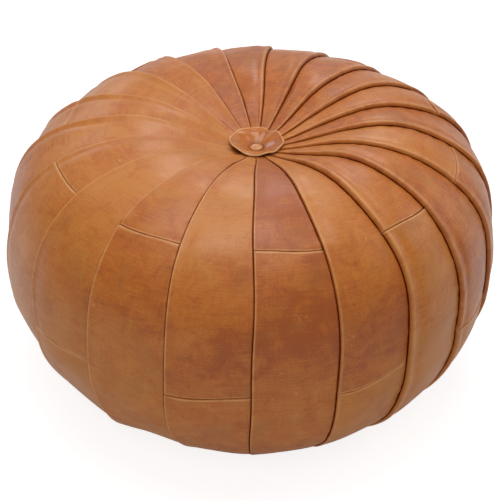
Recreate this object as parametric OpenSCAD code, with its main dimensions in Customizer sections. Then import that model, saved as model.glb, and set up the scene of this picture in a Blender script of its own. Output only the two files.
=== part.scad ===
// Round leather pouf: a stuffed liner inside a cover of lapped leather panels.
// Millimetres, +Z up. The origin is on the floor, under the middle of the pouf.
// Angles round the pouf start at the front (-Y) and grow towards +X.

/* [Pouf body] */
// Widest diameter, over the panel ridges
pouf_d = 530; // [460:5:640]
// Height the dome would have with no dimple in its top
dome_h = 313; // [270:1:380]
// Height of the widest line above the floor
girth_z = 138; // [110:1:170]
// Diameter of the ring that stands on the floor
foot_d = 304; // [280:2:340]
// Squareness of the dome above the widest line, 2 being an ellipse
dome_power = 3.35; // [2.4:0.05:4]
// Squareness of the skirt below the widest line, 2 being an ellipse
skirt_power = 1.75; // [1.6:0.05:2.2]
// Depth of the dimple that the tuft draws into the top
dimple_depth = 43; // [25:1:55]
// Radius over which the dimple fades out
dimple_r = 87; // [70:1:110]

/* [Leather panels] */
// Number of panels round the pouf
panel_count = 20; // [16:2:20]
// Thickness of the leather
leather_t = 1.6; // [1.2:0.1:2.4]
// Height of the folded lip where one panel laps the next
lip_h = 7; // [4:0.5:10]
// How far the sewn seams drift from an even spacing, in degrees
seam_drift = 3.5; // [0:0.1:5]
// Radius of the hole that the panel tips leave under the medallion
tip_r = 20; // [14:1:22]
// Gap left at every sewn seam
seam_gap = 0.3; // [0.2:0.05:0.5]
// Length of leather from the widest line up to the high cross seams
high_join = 165; // [120:1:190]
// Length of leather from the widest line up to the low cross seams
low_join = 12; // [-20:1:40]

/* [Medallion and tuft] */
// How far the tuft sits off the middle of the pouf, towards +X
tuft_x = 5.5; // [0:0.5:7]
// Radius at which the panels stop leaning towards the tuft
lean_r = 200; // [150:5:220]
// Diameter of the medallion that covers the panel tips
medallion_d = 58; // [50:1:70]
// Thickness of the medallion leather
medallion_t = 2.2; // [1.6:0.1:3]
// Depth that the button draws the middle of the medallion below its own slope
dish = 5.5; // [2:0.5:7]
// Diameter of the covered button
button_d = 14.5; // [12:0.5:20]
// Height of the covered button
button_h = 5; // [4:0.5:7]
// Diameter of the tuft cord
cord_d = 2; // [1.6:0.1:2.4]
// Radius of the button's wire eye and of the cord's turn through it
eye_r = 2.6; // [2.5:0.1:3]
// Diameter of the wire eye's wire
eye_wire_d = 1.4; // [1:0.1:1.5]
// Diameter of the disc that the cord is knotted under
anchor_d = 40; // [30:1:60]
// Thickness of that disc
anchor_t = 4; // [3:0.5:6]
// Diameter of the knot
knot_d = 7; // [6:0.5:9]

/* [Stuffing] */
// Thickness of the liner bag
liner_t = 1; // [0.6:0.1:2]
// Bore left round the tuft cord
cord_bore_d = 10; // [9:0.5:14]
// Depth that the tuft draws the liner down under the medallion
tuft_pull = 8; // [6:1:14]

/* [Base and zip] */
// Radius of the base disc
base_r = 118; // [114:1:130]
// Height of the base disc above the floor
base_recess = 10; // [9:0.5:14]
// Width of the slot between the two halves of the base
zip_slot = 14; // [13:0.5:18]
// Length of the zip's closed chain
zip_len = 190; // [150:5:195]
// Length of the zip tapes
tape_len = 224; // [216:2:226]
// Width of each zip tape
tape_w = 14; // [12:0.5:16]
// Thickness of the zip tape
tape_t = 0.8; // [0.6:0.1:1]
// Thickness of the zip teeth
tooth_t = 2.6; // [2.2:0.1:3]
// Spacing of the teeth on one tape
tooth_pitch = 3; // [2.8:0.1:4]
// Reach of a tooth on each side of the zip's middle line
tooth_reach = 1.1; // [0.9:0.05:1.2]
// Width of the solid edge that carries the teeth
tooth_spine = 1; // [0.8:0.1:1.4]
// Length of the slider
slider_len = 12; // [11:0.5:14]
// Width of the slider
slider_w = 11; // [10.5:0.1:11.5]
// Thickness of the slider's plates
slider_plate = 1.3; // [1:0.1:1.6]
// Length of the pull tab, from its pin to its tip
pull_len = 26; // [20:1:28]
// Width of the pull tab
pull_w = 8; // [7:0.5:9]
// Thickness of the pull tab
pull_t = 1.4; // [1:0.1:1.8]
// Diameter of the pin that the pull tab turns on
pin_d = 1.6; // [1.4:0.1:1.8]

/* [Hidden] */
// Clearance between soft pieces and what they lie on
fit = 0.3;
// Running clearance of the pull tab on its pin
pin_play = 0.05;
// How far the skirt would press into the floor, cut off flat
foot_press = 0.5;
round_fn = 48;
leather = "peru";
brass = "goldenrod";

girth_r = pouf_d/2;
foot_r = foot_d/2;
medallion_r = medallion_d/2;
cord_bore_r = cord_bore_d/2;
anchor_r = anchor_d/2;

// The pouf's outline, from the panel tips to the base disc
function crown_z(r) = girth_z
    + (dome_h - girth_z)*pow(1 - pow(r/girth_r, dome_power), 1/dome_power)
    - dimple_depth*exp(-pow(r/dimple_r, 2));

outline_steps = 60;
tuck_steps = 12;
tip_angle = acos(pow(tip_r/girth_r, dome_power/2));
dome_line = [for (i = [0 : outline_steps])
    let (a = tip_angle*(1 - pow(i/outline_steps, 2)), r = girth_r*pow(cos(a), 2/dome_power))
    [r, crown_z(r)]];
skirt_line = [for (i = [1 : outline_steps])
    let (a = 90*i/outline_steps)
    [foot_r + (girth_r - foot_r)*pow(cos(a), 2/skirt_power),
     girth_z - (girth_z + foot_press)*pow(sin(a), 2/skirt_power)]];
tuck_line = [for (i = [1 : tuck_steps])
    let (f = i/tuck_steps)
    [foot_r + (base_r - foot_r)*f, -foot_press + (base_recess + foot_press)*(1 - cos(180*f))/2]];
outline = concat(dome_line, skirt_line, tuck_line);

// Length of leather from the panel tips to each point of the outline
outline_len = [for (i = 0, s = 0; i < len(outline);
    s = s + (i + 1 < len(outline) ? norm(outline[i + 1] - outline[i]) : 0), i = i + 1) s];
r_table = [for (i = [0 : len(outline) - 1]) [outline_len[i], outline[i][0]]];
z_table = [for (i = [0 : len(outline) - 1]) [outline_len[i], outline[i][1]]];
girth_s = outline_len[outline_steps];
foot_s = outline_len[2*outline_steps];
base_s = outline_len[len(outline) - 1];

slope_step = 2;
function outline_at(s) = [lookup(s, r_table), lookup(s, z_table)];
function outward_at(s) =
    let (a = outline_at(max(0, s - slope_step)), b = outline_at(min(base_s, s + slope_step)), d = b - a)
    [-d[1], d[0]]/norm(d);
function inside(s, depth) = outline_at(s) - depth*outward_at(s);
function ease(x) = let (c = min(1, max(0, x))) c*c*(3 - 2*c);
function reversed(list) = [for (i = [len(list) - 1 : -1 : 0]) list[i]];

// The lip grows from the crowded tips and is pressed flat towards the floor
lip_grow = 90;
lip_fade = 110;
tip_lip = 0.3;
foot_flat = 15;
function lip_at(s) = lip_h*(tip_lip + (1 - tip_lip)*ease(s/lip_grow))*ease((foot_s - foot_flat - s)/lip_fade);

// Section across a panel: share of its width from the lip, and share of the lip's height
section = [[0, 0], [0.035, 0.8], [0.12, 1], [0.4, 0.86], [0.7, 0.5], [1, 0]];

// The panels lean towards the tuft, fully under the medallion and not at all from lean_r outwards
function lean_at(s) =
    s < girth_s ? tuft_x*(1 - ease((lookup(s, r_table) - medallion_r)/(lean_r - medallion_r))) : 0;

panel_pitch = 360/panel_count;
function seam_angle(k) = k*panel_pitch - seam_drift*(1 - cos(k*panel_pitch));

function cover_point(k, s, across, depth) =
    let (
        p = inside(s, depth),
        shy = asin(seam_gap/2/p[0]),
        lo = seam_angle(k) + shy,
        hi = seam_angle(k + 1) - shy,
        a = lo + (hi - lo)*across
    )
    [p[0]*sin(a) + lean_at(s), -p[0]*cos(a), p[1]];

// Faces of a closed sheet whose outer grid of points is followed by its inner grid
function sheet_faces(rows, cols) =
    let (
        at = function (i, j) i*cols + j,
        under = function (i, j) rows*cols + i*cols + j,
        quad = function (a, b, c, d) [[a, b, c], [a, c, d]],
        last = rows - 1,
        edge = cols - 1
    )
    [for (four = concat(
        [for (i = [0 : last - 1], j = [0 : edge - 1])
            quad(at(i, j), at(i, j + 1), at(i + 1, j + 1), at(i + 1, j))],
        [for (i = [0 : last - 1], j = [0 : edge - 1])
            quad(under(i, j), under(i + 1, j), under(i + 1, j + 1), under(i, j + 1))],
        [for (j = [0 : edge - 1]) quad(at(0, j + 1), at(0, j), under(0, j), under(0, j + 1))],
        [for (j = [0 : edge - 1])
            quad(at(last, j), at(last, j + 1), under(last, j + 1), under(last, j))],
        [for (i = [0 : last - 1]) quad(at(i + 1, edge), at(i, edge), under(i, edge), under(i + 1, edge))],
        [for (i = [0 : last - 1]) quad(at(i, 0), at(i + 1, 0), under(i + 1, 0), under(i, 0))]
    )) each four];

module panel_sheet(k, stations) {
    outer = [for (s = stations, c = section) cover_point(k, s, c[0], lip_at(s)*(1 - c[1]))];
    inner = [for (s = stations, c = section)
        cover_point(k, s, c[0], lip_at(s)*(1 - c[1]) + leather_t)];
    color(leather)
        polyhedron(concat(outer, inner), sheet_faces(len(stations), len(section)), convexity = 6);
}

// Stations along the leather, spaced evenly and no wider than row_len
row_len = 42;
function stations(from, to) =
    let (n = ceil((to - from)/row_len)) [for (i = [0 : n]) from + (to - from)*i/n];

// Every second panel is joined high on the shoulder, the others near the widest line
function join_s(k) = girth_s - (k % 2 == 0 ? high_join : low_join);

function upper_stations(k) = stations(0, join_s(k) - seam_gap/2);
function lower_stations(k) = concat(
    stations(join_s(k) + seam_gap/2, foot_s),
    [for (f = [0.5, 1]) foot_s + (base_s - foot_s)*f]
);

module panel_upper(k) {
    panel_sheet(k, upper_stations(k));
}

module panel_lower(k) {
    color(leather)
    difference() {
        panel_sheet(k, lower_stations(k));
        translate([-girth_r, -girth_r, -2*foot_press]) cube([pouf_d, pouf_d, 2*foot_press]);
    }
}

// The medallion is a leather disc dished by the button, resting on the panel ridges
medallion_slope = (crown_z(medallion_r) - crown_z(tip_r))/(medallion_r - tip_r);
eye_hole_r = eye_r + eye_wire_d/2 + fit;
function medallion_z(r) = crown_z(medallion_r) + 2*fit - medallion_slope*(medallion_r - r)
    - dish*max(0, 1 - r/tip_r);

module medallion() {
    rings = [eye_hole_r, tip_r, medallion_r];
    color(leather)
    translate([tuft_x, 0, 0])
    rotate_extrude($fn = round_fn)
        polygon(concat(
            [for (r = rings) [r, medallion_z(r)]],
            [for (r = reversed(rings)) [r, medallion_z(r) + medallion_t]]
        ));
}

// The covered button: a domed cap crimped over a back plate that carries a wire eye
button_r = button_d/2;
button_z = medallion_z(button_r) + medallion_t + fit/2;
back_t = 1.2;
crimp_w = 1.7;
crimp_play = 0.1;
back_r = button_r - crimp_w;
dome_step = 10;
shoulder_power = 0.6;
top_power = 0.9;
eye_z = button_z - eye_r + eye_wire_d/4;

module button_cap() {
    color(leather)
    translate([tuft_x, 0, button_z])
    difference() {
        rotate_extrude($fn = round_fn)
            polygon(concat([[0, 0]], [for (a = [0 : dome_step : 90])
                [button_r*pow(cos(a), shoulder_power), button_h*pow(sin(a), top_power)]]));
        translate([0, 0, -fit]) cylinder(r = back_r + crimp_play, h = back_t + fit + crimp_play, $fn = round_fn);
    }
}

module button_back() {
    color(brass) {
        translate([tuft_x, 0, button_z]) cylinder(r = back_r, h = back_t, $fn = round_fn);
        translate([tuft_x, 0, eye_z]) rotate([90, 0, 0])
            rotate_extrude($fn = round_fn) translate([eye_r, 0]) circle(d = eye_wire_d, $fn = 24);
    }
}

// The base is two half discs that meet at the zip
base_edge_r = base_r - seam_gap;
base_top = base_recess + leather_t;

module base_half(side) {
    color(leather)
    translate([0, 0, base_recess])
    linear_extrude(leather_t)
    intersection() {
        circle(r = base_edge_r, $fn = 2*round_fn);
        translate([-base_r, side > 0 ? zip_slot/2 : -base_r - zip_slot/2]) square([2*base_r, base_r]);
    }
}

module base_half_front() {
    base_half(-1);
}

module base_half_back() {
    base_half(1);
}

// The zip lies on top of the base leather, with its teeth in the slot
tape_edge = tooth_reach + seam_gap + tooth_spine;
zip_z = base_top + tape_t/2;

module zip_tape(side) {
    color("saddlebrown")
    translate([-tape_len/2, side > 0 ? tape_edge : -tape_edge - tape_w, base_top])
        cube([tape_len, tape_w, tape_t]);
}

module zip_tape_front() {
    zip_tape(-1);
}

module zip_tape_back() {
    zip_tape(1);
}

// One row of teeth on its spine; the two rows are half a pitch out of step
tooth_w = tooth_pitch/2 - seam_gap;
tooth_n = floor((zip_len - tooth_pitch)/tooth_pitch);

module zip_chain(side) {
    start = -zip_len/2 + (side > 0 ? tooth_pitch/2 : 0) + seam_gap;
    inner = tape_edge - tooth_spine;
    color(brass)
    translate([0, 0, zip_z - tooth_t/2])
    linear_extrude(tooth_t)
    scale([1, side])
        polygon(concat(
            [[zip_len/2, inner], [zip_len/2, tape_edge], [-zip_len/2, tape_edge], [-zip_len/2, inner]],
            [for (i = [0 : tooth_n - 1], c = [[0, inner], [0, -tooth_reach], [tooth_w, -tooth_reach], [tooth_w, inner]])
                [start + i*tooth_pitch + c[0], c[1]]]
        ));
}

module zip_chain_front() {
    zip_chain(-1);
}

module zip_chain_back() {
    zip_chain(1);
}

// The slider: two flanged plates joined by a wedge, ahead of the closed chain
channel = tooth_t + 2*fit;
tape_slit = tape_t + 2*fit;
flange_w = 1.3;
wedge_len = 2.6;
slider_x = zip_len/2 + fit + wedge_len - slider_len/2;
slider_top = zip_z + channel/2 + slider_plate;
slider_bottom = zip_z - channel/2 - slider_plate;
lug_gap = 3.8;
lug_t = 1.2;
lug_len = 4;
pull_eye_d = pin_d + 2*pull_t;
pull_z = slider_bottom - fit - pull_eye_d/2;

module zip_slider() {
    color(brass)
    translate([slider_x, 0, 0])
    difference() {
        union() {
            translate([-slider_len/2, -slider_w/2, slider_bottom])
                cube([slider_len, slider_w, slider_top - slider_bottom]);
            for (side = [-1, 1])
                translate([-lug_len/2, side*(lug_gap + lug_t)/2 - lug_t/2, pull_z - pin_d])
                    cube([lug_len, lug_t, slider_bottom - pull_z + pin_d + fit]);
            translate([0, lug_gap/2 + lug_t, pull_z]) rotate([90, 0, 0])
                cylinder(d = pin_d, h = lug_gap + 2*lug_t, $fn = round_fn);
        }
        difference() {
            translate([-slider_len/2 - 1, -slider_w/2 + flange_w, zip_z - channel/2])
                cube([slider_len + 2, slider_w - 2*flange_w, channel]);
            translate([slider_len/2 - wedge_len, -tooth_reach, slider_bottom])
                cube([wedge_len, 2*tooth_reach, slider_top - slider_bottom]);
        }
        for (side = [-1, 1])
            translate([-slider_len/2 - 1, side*slider_w/2 - flange_w - fit, zip_z - tape_slit/2])
                cube([slider_len + 2, 2*flange_w + 2*fit, tape_slit]);
    }
}

// The pull tab: a flat tab with an eye that turns on the slider's pin
module zip_pull() {
    color(brass)
    translate([slider_x, 0, pull_z])
    difference() {
        union() {
            rotate([90, 0, 0])
                cylinder(d = pull_eye_d, h = lug_gap - 2*fit, center = true, $fn = round_fn);
            translate([-lug_len, -lug_gap/2 + fit, -pull_t/2]) cube([lug_len, lug_gap - 2*fit, pull_t]);
            translate([0, 0, -pull_t/2]) linear_extrude(pull_t) {
                translate([-pull_len + pull_w/2, 0]) circle(d = pull_w, $fn = round_fn);
                translate([-pull_len + pull_w/2, -pull_w/2])
                    square([pull_len - pull_w/2 - lug_len + fit, pull_w]);
            }
        }
        rotate([90, 0, 0])
            cylinder(d = pin_d + 2*pin_play, h = lug_gap, center = true, $fn = round_fn);
        translate([-pull_len + pull_w/2, 0, -pull_t])
            cylinder(d = pull_w/2, h = 2*pull_t, $fn = round_fn);
    }
}

// Stops keep the slider on the chain: one on each tape when closed, one across both when open
stop_len = 3;

module zip_top_stops() {
    color(brass)
    for (side = [-1, 1])
        translate([slider_x + slider_len/2 + fit, side*(tape_edge - tooth_spine/2) - tooth_spine/2, zip_z - tooth_t/2])
            cube([stop_len, tooth_spine, tooth_t]);
}

module zip_bottom_stop() {
    color(brass)
    translate([-zip_len/2 - fit - stop_len, -tape_edge, zip_z - tooth_t/2])
        cube([stop_len, 2*tape_edge, tooth_t]);
}

// The tuft cord: a loop through the button's eye, down the bore, and a knot under the anchor disc
slider_room = 1.5;
knot_z = slider_top + slider_room + knot_d/2;
anchor_z = knot_z + knot_d/2 + fit/2;
turn_z = eye_z - eye_r;

module tuft_cord() {
    color("wheat") {
        translate([tuft_x, 0, turn_z]) rotate([90, 0, 90])
            rotate_extrude(angle = 180, $fn = round_fn) translate([eye_r, 0]) circle(d = cord_d, $fn = 24);
        for (side = [-1, 1])
            translate([tuft_x, side*eye_r, knot_z]) cylinder(d = cord_d, h = turn_z - knot_z, $fn = 24);
        translate([tuft_x, 0, knot_z]) sphere(d = knot_d, $fn = round_fn);
    }
}

module anchor_disc() {
    color("burlywood")
    translate([tuft_x, 0, anchor_z])
    difference() {
        cylinder(r = anchor_r, h = anchor_t, $fn = round_fn);
        for (side = [-1, 1])
            translate([0, side*eye_r, -1]) cylinder(d = cord_d + 2*fit, h = anchor_t + 2, $fn = 24);
    }
}

// How far the flat faces between the panels' stations lie inside the curved leather
function low_edge(s) = inside(s, lip_at(s) + leather_t);
function sag(rows) = max([for (i = [0 : len(rows) - 2])
    norm(low_edge((rows[i] + rows[i + 1])/2) - (low_edge(rows[i]) + low_edge(rows[i + 1]))/2)]);
widest_strip = max([for (i = [1 : len(section) - 1]) section[i][0] - section[i - 1][0]]);
facet_room = max([for (k = [0, 1]) max(sag(upper_stations(k)), sag(lower_stations(k)))])
    + girth_r*(1 - cos(panel_pitch*widest_strip/2));

// The stuffed bag: its outline lies inside the leather, drawn in at the tuft and over the zip
bag_rows = 40;
bag_shoulder = 8;
bag_floor = slider_top + slider_room/2;
bag_rise = 10;
bag_bore_r = cord_bore_r + tuft_x;
bag_seat_r = anchor_r + tuft_x;
function bag_line(depth) =
    let (clear = leather_t + facet_room + fit + depth)
    concat(
        [[bag_bore_r, crown_z(tip_r) - lip_at(0) - clear - tuft_pull]],
        [for (i = [0 : bag_rows]) let (s = base_s*i/bag_rows)
            inside(s, lip_at(s) + clear + lean_at(s)*abs(outward_at(s)[0]))],
        [[base_r - bag_shoulder, bag_floor + depth],
         [bag_seat_r + bag_rise, bag_floor + depth],
         [bag_seat_r, anchor_z + anchor_t + fit + depth],
         [bag_bore_r, anchor_z + anchor_t + fit + depth]]
    );

module inner_liner() {
    color("linen")
    rotate_extrude($fn = 2*round_fn) polygon(concat(bag_line(0), reversed(bag_line(liner_t))));
}

module filling() {
    color("ivory")
    rotate_extrude($fn = 2*round_fn) polygon(bag_line(liner_t + fit));
}

panel_names = [for (k = [1 : panel_count]) str("panel_", k < 10 ? "0" : "", k)];

for (k = [0 : panel_count - 1]) {
    panel_upper(k);
    panel_lower(k);
}
medallion();
button_cap();
button_back();
tuft_cord();
anchor_disc();
inner_liner();
filling();
base_half_front();
base_half_back();
zip_tape_front();
zip_tape_back();
zip_chain_front();
zip_chain_back();
zip_slider();
zip_pull();
zip_top_stops();
zip_bottom_stop();
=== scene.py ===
"""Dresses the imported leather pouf: lapped panels, medallion, covered button, base, zip and studio."""
import math
from contextlib import contextmanager

import bmesh
import bpy
import numpy as np
from bpy.props import FloatProperty, FloatVectorProperty, IntProperty, PointerProperty
from mathutils import Euler, Matrix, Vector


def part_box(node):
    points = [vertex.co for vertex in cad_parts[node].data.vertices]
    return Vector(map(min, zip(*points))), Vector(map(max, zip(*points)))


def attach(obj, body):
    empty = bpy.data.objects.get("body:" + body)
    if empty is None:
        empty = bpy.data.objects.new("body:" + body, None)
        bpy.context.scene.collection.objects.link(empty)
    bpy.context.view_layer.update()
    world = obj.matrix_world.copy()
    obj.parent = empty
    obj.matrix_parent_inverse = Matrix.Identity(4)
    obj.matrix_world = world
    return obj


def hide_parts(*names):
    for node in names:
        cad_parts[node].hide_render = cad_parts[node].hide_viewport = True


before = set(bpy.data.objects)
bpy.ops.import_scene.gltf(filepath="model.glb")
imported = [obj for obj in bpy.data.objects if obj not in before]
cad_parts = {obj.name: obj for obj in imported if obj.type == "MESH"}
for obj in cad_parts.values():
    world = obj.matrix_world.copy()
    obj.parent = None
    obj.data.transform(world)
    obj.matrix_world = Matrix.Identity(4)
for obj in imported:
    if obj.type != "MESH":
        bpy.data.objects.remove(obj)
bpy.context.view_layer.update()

bl_info = {
    "name": "Leather pouf",
    "version": (1, 0, 0),
    "blender": (4, 5, 0),
    "location": "3D View > Sidebar > Pouf",
    "description": "Models a stuffed pouf of lapped leather panels around its packed solids",
    "category": "Add Mesh",
}

MM = 0.001
BODY = "pouf"
# Points closer than this are one point
MERGE = 0.001 * MM


def linear(hex_colour):
    """An sRGB hex value as linear red, green, blue and alpha."""
    parts = [int(hex_colour[i:i + 2], 16) / 255 for i in (1, 3, 5)]
    return tuple(c / 12.92 if c <= 0.04045 else ((c + 0.055) / 1.055) ** 2.4 for c in parts) + (1.0,)


def length(name, description, millimetres):
    """A length property, given in millimetres and held in metres."""
    return FloatProperty(name=name, description=description, default=millimetres * MM, unit="LENGTH")


def rotation(name, description, degrees):
    """An angle property, given in degrees and held in radians."""
    return FloatProperty(name=name, description=description, default=math.radians(degrees), unit="ROTATION")


def power(name, description, default):
    """A plain number property for the squareness of a curve."""
    return FloatProperty(name=name, description=description, default=default)


def colour(name, description, hex_colour):
    """A colour property, given as an sRGB hex value."""
    return FloatVectorProperty(
        name=name, description=description, subtype="COLOR", size=4, min=0, max=1, default=linear(hex_colour)
    )


class PoufShape(bpy.types.PropertyGroup):
    """Sizes of the stuffed body and its panels."""

    girth: length("Girth radius", "Widest radius, over the panel ridges", 265)
    dome: length("Dome height", "Height the dome would have with no dimple", 313)
    girth_height: length("Girth height", "Height of the widest line above the floor", 138)
    foot: length("Foot radius", "Radius of the ring that stands on the floor", 152)
    foot_press: length("Foot press", "Depth of the skirt that the floor presses flat", 0.5)
    dome_power: power("Dome power", "Squareness of the dome, 2 being round", 3.35)
    skirt_power: power("Skirt power", "Squareness of the skirt, 2 being round", 1.75)
    dimple: length("Dimple depth", "Depth that the tuft draws into the top", 43)
    dimple_radius: length("Dimple radius", "Radius over which the dimple fades", 87)
    panels: IntProperty(name="Panels", description="Number of panels round the pouf", default=20)
    drift: rotation("Seam drift", "How far the seams drift from even spacing", 3.5)
    tip: length("Tip radius", "Radius of the hole that the panel tips leave", 20)
    tuft: length("Tuft offset", "How far the tuft sits off the middle, towards +X", 5.5)
    lean: length("Lean radius", "Radius at which the panels stop leaning towards the tuft", 200)
    medallion: length("Medallion radius", "Radius inside which the panels lean fully", 29)
    base: length("Base radius", "Radius where the panels meet the base", 118)
    recess: length("Base recess", "Height of the base above the floor", 10)
    high_join: length("High join", "Leather from the widest line up to the high cross seams", 165)
    low_join: length("Low join", "Leather from the widest line up to the low cross seams", 12)


class LeatherDetail(bpy.types.PropertyGroup):
    """Sizes of the folds, lips and seams in the leather."""

    thickness: length("Thickness", "Thickness of the panel leather", 1.4)
    lip: length("Lip height", "Height of a panel's lip over the next panel", 7)
    seam_gap: length("Seam gap", "Gap left at a cross seam", 0.2)
    groove: length("Groove depth", "Depth of a cross seam's groove", 1.3)
    groove_width: length("Groove width", "Half width of a cross seam's groove", 0.65)
    sway: length("Seam sway", "How far a seam wanders from its meridian", 1.1)
    swell: length("Swell", "Unevenness of the stuffing under the leather", 1.0)
    pucker: length("Pucker", "Height of the small wrinkles beside the seams", 0.3)


class PoufColours(bpy.types.PropertyGroup):
    """Colours of the leather and trim."""

    tan: colour("Tan", "Main colour of the waxed leather", "#C16C2A")
    pale: colour("Pale", "Leather where the wax is pulled thin", "#CC7F37")
    russet: colour("Russet", "Redder parts of the hide", "#AB5828")
    olive: colour("Olive", "Greyer parts of the hide", "#A97239")
    # Worn also colours the painted highlight on lip crests, beside cross seams and on the medallion and
    # button
    worn_and_lit: colour("Worn", "Rubbed folds and scratches", "#DFA268")
    # Shade colours the painted shade under and before the lips, in seams, under the medallion and on the
    # button
    shade: colour("Shade", "Wax and dirt in the creases", "#601600")
    # Cut edge: pale raw fibre, made paler still as a painted highlight on the medallion's rim
    edge: colour("Cut edge", "Raw cut edge of the medallion", "#E3B67F")
    tape: colour("Zip tape", "Woven zip tape", "#4A2C1A")
    brass: colour("Brass", "Zip teeth, slider and pull", "#B98D4F")
    calico: colour("Calico", "Liner cloth and cord", "#E3D8C2")
    wood: colour("Wood", "Anchor disc", "#C49A68")
    paper: colour("Paper", "Studio paper under the pouf", "#F3F3F3")


class PoufStage(bpy.types.PropertyGroup):
    """The camera."""

    elevation: rotation("Elevation", "Height angle of the camera", 36.24)
    azimuth: rotation("Azimuth", "Turn of the camera from the front", -0.86)
    roll: rotation("Roll", "Tilt of the picture", 0.64)
    distance: length("Distance", "Camera distance from the point it looks at", 1285)
    target: length("Target height", "Height of the point it looks at", 134)
    lens: FloatProperty(name="Lens", description="Focal length", default=82.06, unit="CAMERA")


# Shape helpers


def ease(x):
    """A smooth step from 0 to 1."""
    c = np.clip(x, 0, 1)
    return c * c * (3 - 2 * c)


def rising(x, start, run, low=0.0):
    """A smooth step up from low to 1 that begins at start."""
    return low + (1 - low) * ease((x - start) / run)


def falling(x, end, run, low=0.0):
    """A smooth step down from 1 to low that finishes at end."""
    return low + (1 - low) * ease((end - x) / run)


def hump(x, width):
    """A bell curve that is 1 at 0."""
    return np.exp(-np.square(x / width))


def turned(a, degrees):
    """Angle from a direction, between minus and plus pi."""
    return np.angle(np.exp(1j * (a - math.radians(degrees))))


def around(angle, r, z, centre=0.0):
    """Points about an upright axis, by angle from the front towards +X."""
    return np.stack([r * np.sin(angle) + centre, -r * np.cos(angle), z], -1)


def middle(low, high):
    """The middle of a stretch and half its length."""
    return (low + high) / 2, (high - low) / 2


def running(*steps):
    """Length along a path, from the steps in each direction."""
    return np.concatenate([[0], np.cumsum(np.sqrt(sum(np.square(step) for step in steps)))])


def wander(u, v, wavelength, seed, waves=7):
    """A smooth random field of about -1 to 1 with features of one wavelength."""
    rng = np.random.default_rng(seed)
    total = np.zeros(np.broadcast(u, v).shape)
    for _ in range(waves):
        turn, stretch, phase = rng.uniform(0, math.tau), rng.uniform(0.7, 1.5), rng.uniform(0, math.tau)
        k = math.tau / (wavelength * stretch)
        total += np.cos(k * (u * math.cos(turn) + v * math.sin(turn)) + phase)
    return total / math.sqrt(waves)


class Outline:
    """The pouf's meridian from the panel tips to the base, by length of leather."""

    STEPS = 400
    TUCK_STEPS = 100

    def __init__(self, shape):
        n = self.STEPS
        tip_angle = math.acos((shape.tip / shape.girth) ** (shape.dome_power / 2))
        a = tip_angle * (1 - np.linspace(0, 1, n) ** 2)
        dome_r = shape.girth * np.cos(a) ** (2 / shape.dome_power)
        b = np.linspace(0, math.pi / 2, n)[1:]
        skirt_r = shape.foot + (shape.girth - shape.foot) * np.cos(b) ** (2 / shape.skirt_power)
        drop = shape.girth_height + shape.foot_press
        skirt_z = shape.girth_height - drop * np.sin(b) ** (2 / shape.skirt_power)
        f = np.linspace(0, 1, self.TUCK_STEPS)[1:]
        tuck_r = shape.foot + (shape.base - shape.foot) * f
        tuck_z = -shape.foot_press + (shape.recess + shape.foot_press) * (1 - np.cos(math.pi * f)) / 2
        self.r = np.concatenate([dome_r, skirt_r, tuck_r])
        self.z = np.concatenate([self.crown(shape, dome_r), skirt_z, tuck_z])
        self.s = running(np.diff(self.r), np.diff(self.z))
        self.girth_s, self.foot_s, self.base_s = self.s[n - 1], self.s[2 * n - 2], self.s[-1]
        leaning = 1 - ease((self.r - shape.medallion) / (shape.lean - shape.medallion))
        self.lean = np.where(self.s < self.girth_s, shape.tuft * leaning, 0)
        dr, dz = np.gradient(self.r, self.s), np.gradient(self.z, self.s)
        size = np.hypot(dr, dz)
        self.nr, self.nz = -dz / size, dr / size

    @staticmethod
    def crown(shape, r):
        """Height of the dome at a radius."""
        bulge = (1 - (r / shape.girth) ** shape.dome_power) ** (1 / shape.dome_power)
        rise = (shape.dome - shape.girth_height) * bulge
        return shape.girth_height + rise - shape.dimple * hump(r, shape.dimple_radius)

    def at(self, s):
        """Radius, height, outward direction and lean at a length of leather from the tips."""
        return [np.interp(s, self.s, table) for table in (self.r, self.z, self.nr, self.nz, self.lean)]


# Modelling helpers


def add(operator, name, **values):
    """Adds one object with nothing else selected, and names it and its data."""
    bpy.ops.object.select_all(action="DESELECT")
    operator(**values)
    piece = bpy.context.object
    piece.name = piece.data.name = name
    return piece


@contextmanager
def editing(mesh):
    """Opens a mesh for changes to its points and faces, and puts them back."""
    bm = bmesh.new()
    bm.from_mesh(mesh)
    yield bm
    bm.to_mesh(mesh)
    bm.free()


def apply_modifier(piece, kind, **values):
    """Adds a modifier to the active piece, sets its values and applies it."""
    modifier = piece.modifiers.new(kind.lower(), kind)
    for key, value in values.items():
        setattr(modifier, key, value)
    bpy.ops.object.modifier_apply(modifier=modifier.name)


def round_edges(piece, width, degrees):
    """Bevels the edges that turn more sharply than an angle."""
    angle = math.radians(degrees)
    apply_modifier(piece, "BEVEL", width=width, segments=2, limit_method="ANGLE", angle_limit=angle)


def place_points(mesh, points, hide=None, marks=None):
    """Moves a mesh's points, and gives each its place on the flat hide and its marks, such as painted shade.
    """
    mesh.vertices.foreach_set("co", points.reshape(-1).astype(np.float32))
    if hide is not None:
        corner = np.zeros(len(mesh.loops), np.int32)
        mesh.loops.foreach_get("vertex_index", corner)
        mesh.uv_layers[0].data.foreach_set("uv", hide.reshape(-1, 2)[corner].reshape(-1).astype(np.float32))
    for key, values in (marks or {}).items():
        layer = mesh.attributes.new(key, "FLOAT", "POINT")
        each = np.broadcast_to(values, points.shape[:-1])
        layer.data.foreach_set("value", each.reshape(-1).astype(np.float32))


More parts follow.
